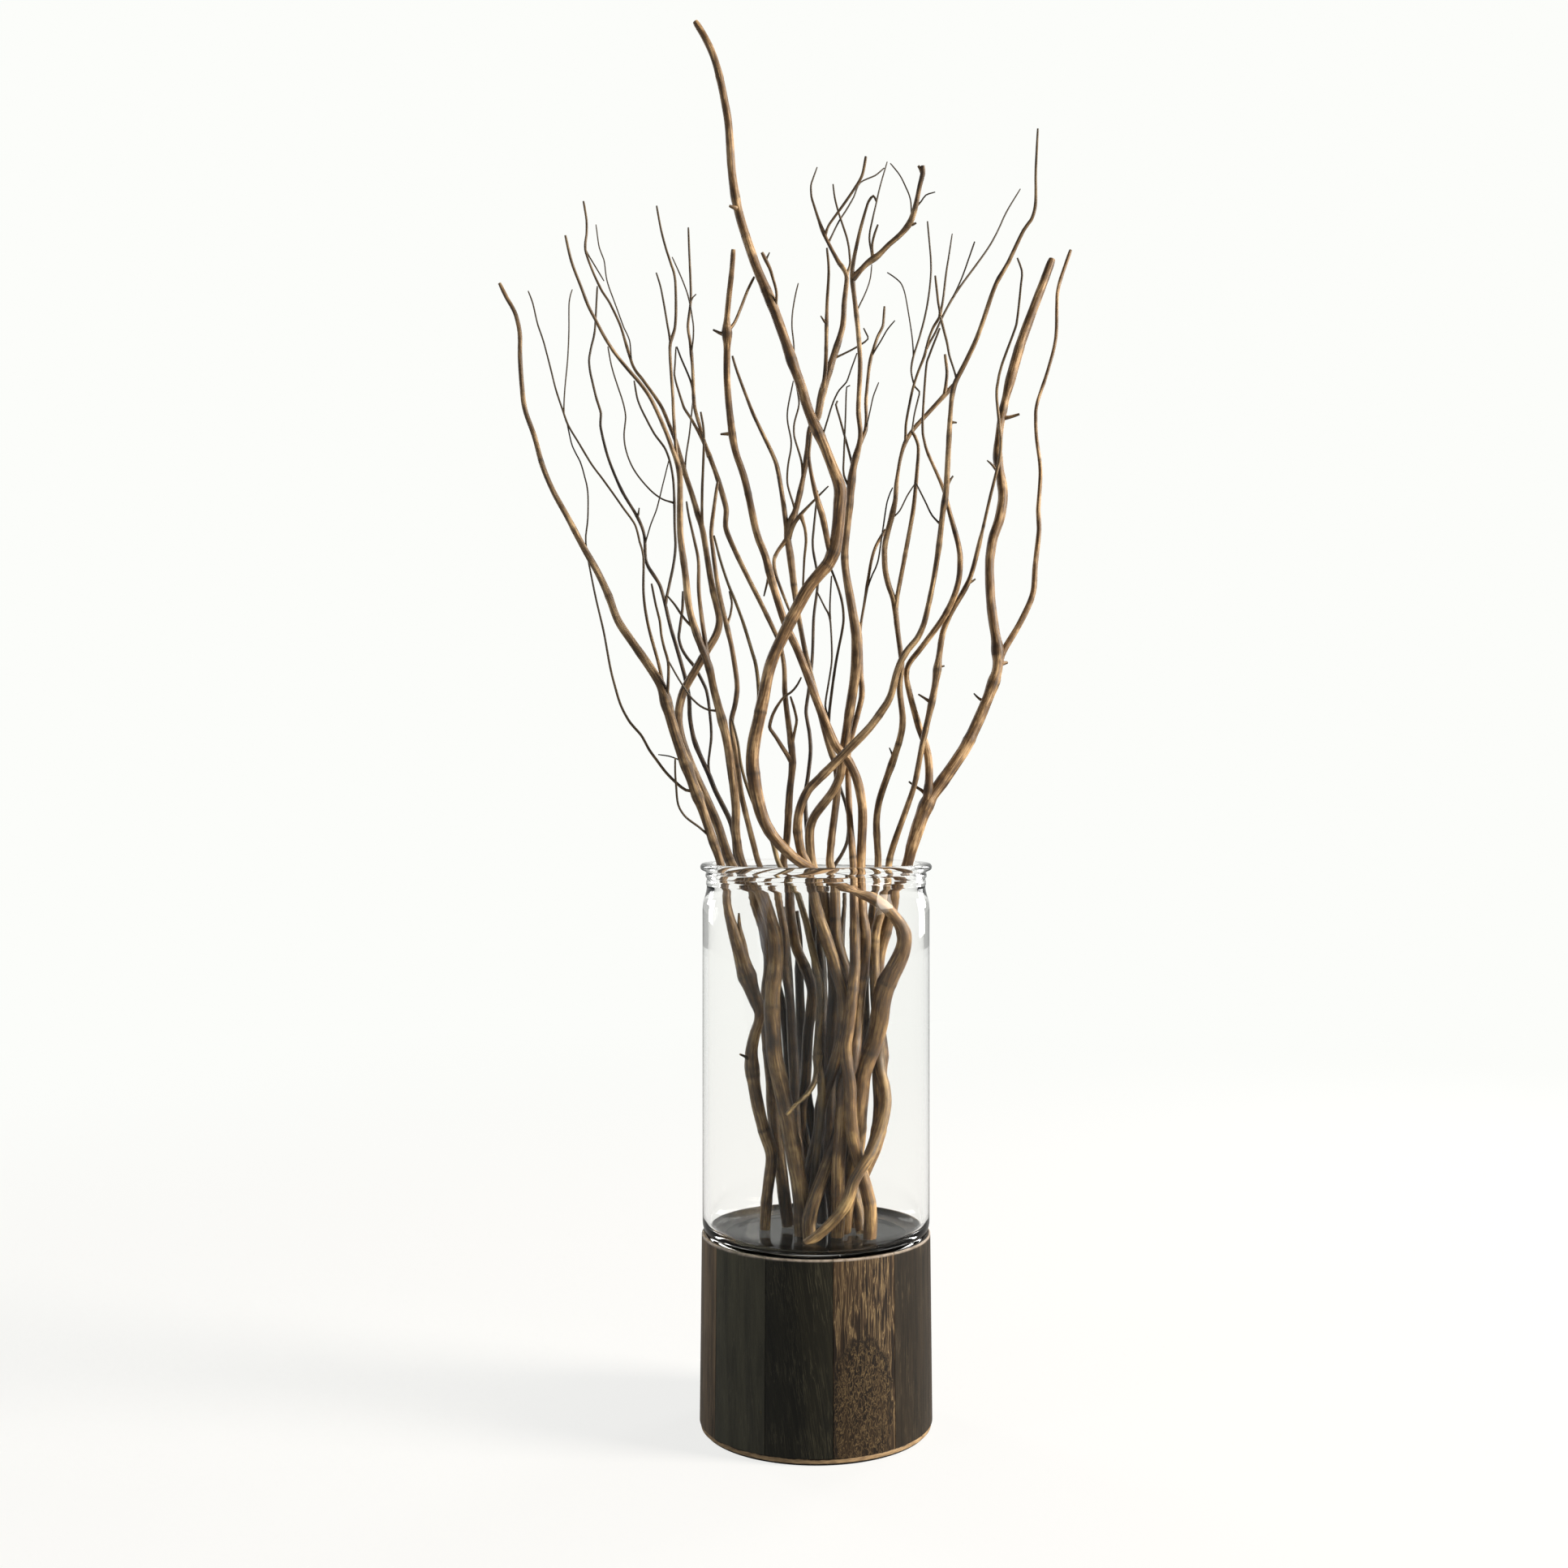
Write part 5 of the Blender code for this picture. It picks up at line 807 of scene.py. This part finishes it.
def blown_glass():
    """Clear soda-lime glass, machine blown and fire polished: no tint, sharp reflections and edges that read as
    pale grey lines. Its own shadow is left out, so that the key light reaches the stems inside."""
    material, node = empty_material("blown_clear_glass")
    glass = {"Base Color": "fcfcfb", "Roughness": 0.0, "IOR": GLASS_IOR, "Transmission Weight": 1.0}
    clear = node("BsdfPrincipled", glass)
    passing = node("BsdfTransparent", {"Color": "f4f5f3"})
    shadow = node("LightPath", out="Is Shadow Ray")
    node("OutputMaterial", {"Surface": node("MixShader", {0: shadow, 1: clear, 2: passing})})
    return material


def bell(gone, middle, spread):
    """1 at the middle, and less and less on both sides of it."""
    return np.exp(-(((gone - middle) / spread) ** 2))


def finer(line, points, radius):
    """The placed line read again every FINE_STEP, with its bark's swellings; returns places, radii and marks."""
    smooth = through(points, FINE_STEP)
    last = len(points) - 1
    size = np.interp(np.linspace(0, last, len(smooth)), np.arange(len(points)), radius)
    gone = np.append(0, np.cumsum(np.linalg.norm(np.diff(smooth, axis=0), axis=1)))
    ring = np.zeros(len(smooth))
    for at in line["collars"]:
        here = gone[int(round(at / last * (len(smooth) - 1)))]
        size = size * (1 + COLLAR_SWELL * bell(gone, here, COLLAR_SPREAD))
        ring = np.maximum(ring, COLLAR_MARK * bell(gone, here, COLLAR_MARK_SPREAD))
    chance = np.random.default_rng(line["seed"])
    if radius.max() > BUD_WIDTH / 2:
        buds = np.arange(BUD_SPACING * chance.uniform(0.3, 1), gone[-1] - BUD_SPREAD, BUD_SPACING)
        for here in buds + chance.uniform(-BUD_STRAY, BUD_STRAY, len(buds)):
            size = size * (1 + BUD_SWELL * bell(gone, here, BUD_SPREAD) * chance.uniform(0.3, 1.3))
            ring = np.maximum(ring, chance.uniform(0.1, 0.8) * bell(gone, here, BUD_MARK_SPREAD))
    if line["root"]:
        size = size * (1 + ROOT_FLARE * bell(gone, 0, ROOT_REACH * radius[0] + ROOT_LEAST))
    size[-2:] *= TIP_ROUNDING
    return smooth, size, gone, ring


def placed(name, data):
    """A new object of the scene, with its curve, mesh, light or camera."""
    holder = bpy.data.objects.new(name, data)
    bpy.context.scene.collection.objects.link(holder)
    return holder


def stem_curve(name, strands):
    """One curve with a round bevel and a spline for each strand, whose own radii give it its thickness."""
    curve = bpy.data.curves.new(name, "CURVE")
    curve.dimensions = "3D"
    curve.bevel_mode = "ROUND"
    curve.bevel_depth = 1.0
    curve.bevel_resolution = BARK_RESOLUTION
    curve.twist_mode = "MINIMUM"
    for places, radii, *_ in strands:
        spline = curve.splines.new("POLY")
        spline.points.add(len(places) - 1)
        spline.points.foreach_set("co", np.column_stack([places * MM, np.ones(len(places))]).ravel())
        spline.points.foreach_set("radius", radii * MM)
    return curve


def close_cut_ends(mesh):
    """Fills the open end of each strand with a face of cut wood."""
    bm = bmesh.new()
    bm.from_mesh(mesh)
    open_edges = [edge for edge in bm.edges if edge.is_boundary]
    for face in bmesh.ops.holes_fill(bm, edges=open_edges, sides=0)["faces"]:
        face.material_index = 1
    bmesh.ops.recalc_face_normals(bm, faces=bm.faces)
    bm.to_mesh(mesh)
    bm.free()


def bark_stem(name, bark, strands, finishes):
    """The stem's mesh from its curve, with the bark's lumps and the coordinates that its pattern follows."""
    curve = stem_curve(name, strands)
    holder = placed(name + "_curve", curve)
    bpy.context.view_layer.update()
    mesh = bpy.data.meshes.new_from_object(holder.evaluated_get(bpy.context.evaluated_depsgraph_get()))
    bpy.data.objects.remove(holder, do_unlink=True)
    mesh.name = name
    places, radii, lengths, marks, shifts = zip(*strands)
    counts = [len(line) for line in places]
    rings = sum(counts)
    sides = len(mesh.vertices) // rings
    corners = np.empty(len(mesh.vertices) * 3)
    mesh.vertices.foreach_get("co", corners)
    corners = corners.reshape(rings, sides, 3)
    centres = np.concatenate(places) * MM
    widths = 2 * np.concatenate(radii)
    turn = np.linspace(0, 2 * np.pi, sides, endpoint=False)[None, :]
    wave = (np.concatenate(lengths) + np.repeat(shifts, counts))[:, None]
    lump = sum(share * np.sin(wave / length + way * turn) for length, way, share in LUMP_WAVES)
    corners = centres[:, None] + (corners - centres[:, None]) * (1 + LUMP * lump / 2)[..., None]
    mesh.vertices.foreach_set("co", corners.ravel())
    place = np.empty((rings, sides, 3))
    place[..., 0] = widths[:, None] / 2 * np.cos(turn) * MM
    place[..., 1] = widths[:, None] / 2 * np.sin(turn) * MM
    place[..., 2] = wave * MM
    slim = np.clip((STOUT_WIDTH - widths) / (STOUT_WIDTH - SLIM_WIDTH), 0, 1)
    mesh.attributes.new("bark_place", "FLOAT_VECTOR", "POINT").data.foreach_set("vector", place.ravel())
    for key, values in (("slim", slim), ("ring", np.concatenate(marks))):
        mesh.attributes.new(key, "FLOAT", "POINT").data.foreach_set("value", np.repeat(values, sides))
    mesh.materials.clear()
    for finish in (bark, "cut"):
        mesh.materials.append(finishes[finish])
    close_cut_ends(mesh)
    mesh.shade_smooth()
    mesh.set_sharp_from_angle(angle=math.radians(BARK_EDGE_DEG))
    return placed(name, mesh)


def make_stems(finishes):
    """A barked piece for each stem, over the solid of the same name."""
    lines = drawn_lines()
    ease_apart(lines)
    for k, line in enumerate(lines):
        line["seed"] = SEED + k
        line["collars"] = [twig["root"][1] for twig in lines if twig["root"] and twig["root"][0] is line]
    for node in dict.fromkeys(line["node"] for line in lines):
        strands = []
        own = [line for line in lines if line["node"] == node]
        for line in own:
            points = place(line["flat"], line["depth"])
            radius = line["radius"] * (EYE_DISTANCE + line["depth"]) / EYE_DISTANCE
            if not line["root"]:
                points = stand_on_floor(points)
            else:
                host, at = line["root"]
                points[0] = place(host["flat"], host["depth"])[at]
            strands.append((*finer(line, points, radius), PATTERN_SHIFT * line["seed"]))
        bark = own[0]["bark"]
        piece = bark_stem(node.replace("stem_", "bark_"), bark, strands, finishes)
        settle(piece, "bark_" + bark, node)


def settle(piece, slot, *nodes):
    """Rides the piece on the one body and stands it in for its nodes."""
    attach(piece, "root")
    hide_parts(*nodes)


def finish_mesh(name, bm, material, smooth_deg):
    """A smooth shaded piece of one material, with sharp edges from smooth_deg up."""
    bmesh.ops.remove_doubles(bm, verts=bm.verts, dist=1e-6)
    bmesh.ops.recalc_face_normals(bm, faces=bm.faces)
    mesh = bpy.data.meshes.new(name)
    bm.to_mesh(mesh)
    bm.free()
    mesh.materials.append(material)
    mesh.shade_smooth()
    mesh.set_sharp_from_angle(angle=math.radians(smooth_deg))
    return placed(name, mesh)


def turned(name, profile, steps, material, smooth_deg=40):
    """A solid of revolution from an open profile that starts and ends on the axis."""
    bm = bmesh.new()
    corners = [bm.verts.new((r * MM, 0, z * MM)) for r, z in profile]
    edges = [bm.edges.new(pair) for pair in zip(corners, corners[1:])]
    bmesh.ops.spin(
        bm, geom=corners + edges, cent=(0, 0, 0), axis=(0, 0, 1), angle=2 * math.pi, steps=steps, use_merge=True
    )
    return finish_mesh(name, bm, material, smooth_deg)


def arc(centre_r, centre_z, half_r, half_z, start_deg, end_deg, count):
    """Points of an ellipse's arc, from start_deg to end_deg counted from +r towards +z."""
    turns = [math.radians(start_deg + (end_deg - start_deg) * k / count) for k in range(count + 1)]
    return [(centre_r + half_r * math.cos(t), centre_z + half_z * math.sin(t)) for t in turns]


def disc(radius, low, high, ease):
    """Profile of a disc with eased edges."""
    lower = arc(radius - ease, low + ease, ease, ease, -90, 0, 3)
    upper = arc(radius - ease, high - ease, ease, ease, 0, 90, 3)
    return [(0, low), *lower, *upper, (0, high)]


def make_vase(finishes):
    """Clear cylinder: thick flat floor, round heel, straight wall, shoulder, two moulded rings and a rolled lip."""
    heel_r = GLASS_R - GLASS_FLOOR_R
    outside = [(0, GLASS_BOTTOM_Z)]
    outside += arc(GLASS_FLOOR_R, HEEL_Z, heel_r, HEEL_Z - GLASS_BOTTOM_Z, -90, 0, 14)
    outside += [(GLASS_R, WALL_LOW_Z), (GLASS_R, WALL_HIGH_Z), (GLASS_R, SHOULDER_Z - 2)]
    outside += [(GLASS_R - 0.5, SHOULDER_Z + 3), (NECK_R + 1.0, SHOULDER_Z + 7), (NECK_R + 0.3, NECK_Z - 2)]
    outside += [(NECK_R, NECK_Z)]
    for height, proud in zip(RING_HEIGHTS, RING_PROUD):
        outside += arc(NECK_R, height, proud, RING_HALF_HIGH, -90, 90, 6)
    lip_r = LIP_OUTER_R - LIP_HIGH / 2
    outside += arc(lip_r, LIP_Z, LIP_HIGH / 2, LIP_HIGH / 2, -90, 90, 14)
    inner_r = GLASS_R - GLASS_WALL
    lip_top = LIP_Z + LIP_HIGH / 2
    inside = [(NECK_INNER_R + 1.4, lip_top - 0.1), (NECK_INNER_R + 0.3, lip_top - 0.7), (NECK_INNER_R, lip_top - 2)]
    for height, proud in zip(RING_HEIGHTS[::-1], RING_PROUD[::-1]):
        inside += arc(NECK_INNER_R, height, proud, RING_HALF_HIGH, 90, -90, 6)
    inside += [(NECK_INNER_R, NECK_Z - 4), (NECK_INNER_R + 0.7, SHOULDER_Z + 4), (inner_r, SHOULDER_Z - 3)]
    inside += [(inner_r, WALL_HIGH_Z), (inner_r, WALL_LOW_Z)]
    inside += arc(inner_r - INNER_HEEL_R, GLASS_FLOOR_Z + INNER_HEEL_HIGH, INNER_HEEL_R, INNER_HEEL_HIGH, 0, -90, 10)
    inside += [(0, GLASS_FLOOR_Z)]
    piece = turned("glass_cylinder", outside + inside, VASE_STEPS, finishes["glass"], 50)
    settle(piece, "clear_glass", "vase")


def stave_profile():
    """Section through a stave: tapered outside, eased foot, chamfered top, and the step that takes the vase."""
    foot_z = FELT_THICK + BOARD_THICK + 2 * SEAT_GAP
    recess_r = DRUM_TOP_R - RIM_WALL
    foot = arc(DRUM_FOOT_R - EDGE_ROUND, foot_z + EDGE_ROUND, EDGE_ROUND, EDGE_ROUND, -90, 0, 3)
    top = [(DRUM_TOP_R, DRUM_TOP_Z - TOP_CHAMFER), (DRUM_TOP_R - TOP_CHAMFER, DRUM_TOP_Z)]
    return [(DRUM_CORE_R, foot_z), *foot, *top, (recess_r, DRUM_TOP_Z), (recess_r, SEAT_Z), (DRUM_CORE_R, SEAT_Z)]


def make_staves(finishes):
    """The drum's wall, one sector of the section after another, with a narrow joint between each two."""
    pitch = 2 * math.pi / STAVES
    joint = SEAT_GAP / DRUM_CORE_R
    for k, tone in enumerate(STAVE_TONES):
        bm = bmesh.new()
        corners = [bm.verts.new((r * MM, 0, z * MM)) for r, z in stave_profile()]
        face = bm.faces.new(corners)
        start = math.radians(STAVE_START_DEG - 90) + pitch * k + joint / 2
        bmesh.ops.rotate(bm, verts=bm.verts, cent=(0, 0, 0), matrix=Matrix.Rotation(start, 3, "Z"))
        bmesh.ops.spin(
            bm, geom=[face], cent=(0, 0, 0), axis=(0, 0, 1), angle=pitch - joint, steps=STAVE_STEPS,
            use_duplicate=False,
        )
        loose = [edge for edge in bm.edges if edge.is_boundary]
        if loose:
            bmesh.ops.holes_fill(bm, edges=loose)
        tone = "stave_" + tone
        piece = finish_mesh(f"drum_stave_{k + 1:02d}", bm, finishes[tone], STAVE_EDGE_DEG)
        settle(piece, tone, f"stave_{k + 1:02d}")


def make_drum(finishes):
    """Staves, and the three discs between them and under them."""
    make_staves(finishes)
    board_z = FELT_THICK + SEAT_GAP
    deck = disc(DRUM_CORE_R - SEAT_GAP, SEAT_Z - DECK_THICK, SEAT_Z, 0.2)
    board = disc(BOARD_R, board_z, board_z + BOARD_THICK, 0.6)
    felt = disc(FELT_R, 0, FELT_THICK, 0.3)
    for name, profile, finish, slot, solid in (
        ("recess_floor", deck, "recess", "recess_black", "drum_deck"),
        ("base_board", board, "board", "board_tan", "bottom_board"),
        ("base_felt", felt, "felt", "felt_dark", "felt_pad"),
    ):
        settle(turned(name, profile, ROUND_STEPS, finishes[finish]), slot, solid)


def make_finishes():
    """Every material, by a short name."""
    finishes = {name: dried_bark(name, *tones) for name, tones in BARKS.items()}
    # Willow end grain where a stem was cut: pale, dry and matt, with a little dirt
    stops = ((0.35, "7d6644"), (0.7, "bfa67c"))
    finishes["cut"] = mottled("sawn_willow_end_grain", 1.1, 2.0, stops, {"Roughness": 0.8})
    finishes["stave_burl"] = figured_stave()
    finishes |= {"stave_" + name: stained_stave(name, *look) for name, look in STAINS.items()}
    # The recess floor is near black as painted shade under the glass: flat, without gloss, with faint dust
    look = {"Roughness": 0.8, "Specular IOR Level": 0.0}
    finishes["recess"] = mottled("painted_recess_shade", 3, 4.0, ((0.35, "060606"), (0.7, "12110f")), look)
    finishes["board"] = sawn_board()
    # Pressed wool felt: near black, without gloss, with a faint fuzz of fibres at its edge
    look = {"Roughness": 0.97, "Sheen Weight": 0.3}
    finishes["felt"] = mottled("pressed_wool_felt", 0.4, 2.0, ((0.3, "101010"), (0.7, "242423")), look)
    finishes["glass"] = blown_glass()
    return finishes


def panel(name, place_m, target_m, wide, high, watts, colour):
    """A soft light of wide by high metres that faces its target."""
    light = bpy.data.lights.new(name, "AREA")
    light.shape = "RECTANGLE"
    light.size = wide
    light.size_y = high
    light.energy = watts
    light.color = lin(colour)[:3]
    holder = placed(name, light)
    holder.location = place_m
    holder.rotation_euler = (Vector(target_m) - Vector(place_m)).to_track_quat("-Z", "Y").to_euler()


def where_seen(node):
    """1 for what the eye sees, also through the glass, and 0 for what only lights the object or mirrors in it."""
    straight = node("LightPath", out="Is Camera Ray")
    through = node("LightPath", out="Is Transmission Ray")
    lit = node("LightPath", out="Diffuse Depth")
    direct = node("Math", {0: lit, 1: 0.5}, operation="LESS_THAN")
    through = node("Math", {0: through, 1: direct}, operation="MULTIPLY")
    return node("Math", {0: straight, 1: through}, operation="MAXIMUM")


def white_floor():
    """A painted studio floor: matt white near the drum, where it takes soft shadows, and plain glow further out."""
    material, node = empty_material("painted_studio_floor")
    real = node("TexCoord", out="Object")
    gone = node("VectorMath", {0: real}, "Value", operation="LENGTH")
    far = node("MapRange", {"Value": gone, 1: FLOOR_FADE_M[0], 2: FLOOR_FADE_M[1]}, interpolation_type="SMOOTHSTEP")
    colour = node("Mix", {0: far, 6: FLOOR_NEAR, 7: "000000"}, 2, data_type="RGBA")
    glow = node("Mix", {0: far, 6: FLOOR_GLOW, 7: SURROUND}, 2, data_type="RGBA")
    paint = {"Base Color": colour, "Roughness": 1.0, "Specular IOR Level": 0.0, "Emission Color": glow}
    bright = node("BsdfPrincipled", {**paint, "Emission Strength": 1.0})
    weak = node("BsdfPrincipled", {**paint, "Emission Strength": BOUNCE})
    node("OutputMaterial", {"Surface": node("MixShader", {0: where_seen(node), 1: weak, 2: bright})})
    return material


def make_studio():
    """White floor and surround, a key panel at the right, and weak panels behind, on both sides, and at the left."""
    bm = bmesh.new()
    bmesh.ops.create_grid(bm, x_segments=1, y_segments=1, size=FLOOR_HALF_M)
    mesh = bpy.data.meshes.new("floor")
    bm.to_mesh(mesh)
    bm.free()
    mesh.materials.append(white_floor())
    placed("floor", mesh)

    # The surround is white where it is seen, also through the glass, and weaker as a light. In reflections it is
    # pale behind the object and near dark in front of it, so that the glass stays clear
    world = bpy.data.worlds.new("surround")
    bpy.context.scene.world = world
    world.use_nodes = True
    world.node_tree.nodes.clear()
    node = partial(add, world.node_tree)
    way = node("TexCoord", out="Generated")
    behind = node("SeparateXYZ", {"Vector": way}, "Y")
    mirror = node("MapRange", {"Value": behind, 1: -0.3, 2: 0.4, 3: MIRRORED_FRONT, 4: MIRRORED_BACK})
    mirrored = node("LightPath", out="Is Glossy Ray")
    weak = node("Mix", {0: mirrored, 2: FILL, 3: mirror}, data_type="FLOAT")
    turned = node("LightPath", out="Glossy Depth")
    full = node("Mix", {0: turned, 2: 1.0, 3: mirror}, data_type="FLOAT")
    strength = node("Mix", {0: where_seen(node), 2: weak, 3: full}, data_type="FLOAT")
    sky = node("Background", {"Color": SURROUND, "Strength": strength})
    node("OutputWorld", {"Surface": sky})

    panel("key_panel", (3.44, -0.9, 2.08), (0, 0, 0.42), 1.2, 2.2, 320.0, "fff6ea")
    panel("rim_panel", (1.1, 1.3, 0.9), (0, 0, 0.5), 0.5, 1.2, 10.0, "ffffff")
    panel("back_panel", (-1.5, 1.7, 1.0), (0, 0, 0.45), 0.5, 1.2, 12.0, "ffffff")
    panel("fill_panel", (-1.6, -1.1, 0.9), (0, 0, 0.45), 0.3, 1.4, 5.0, "eef3ff")


def make_camera():
    """The eye that the front drawing was made for, level and shifted sideways as the photo is cut."""
    camera = bpy.data.cameras.new("camera")
    camera.sensor_fit = "HORIZONTAL"
    camera.sensor_width = SENSOR
    camera.lens = LENS
    camera.shift_x = (PHOTO_SIDE / 2 - AXIS_PIXEL) / PHOTO_SIDE
    camera.clip_start = 0.05
    holder = placed("camera", camera)
    holder.location = (0, -EYE_DISTANCE * MM, EYE_HEIGHT * MM)
    holder.rotation_euler = (math.pi / 2, 0, 0)
    bpy.context.scene.camera = holder
    bpy.context.scene.view_settings.view_transform = "Standard"


make_camera()
make_studio()
FINISHES = make_finishes()
make_drum(FINISHES)
make_vase(FINISHES)
make_stems(FINISHES)
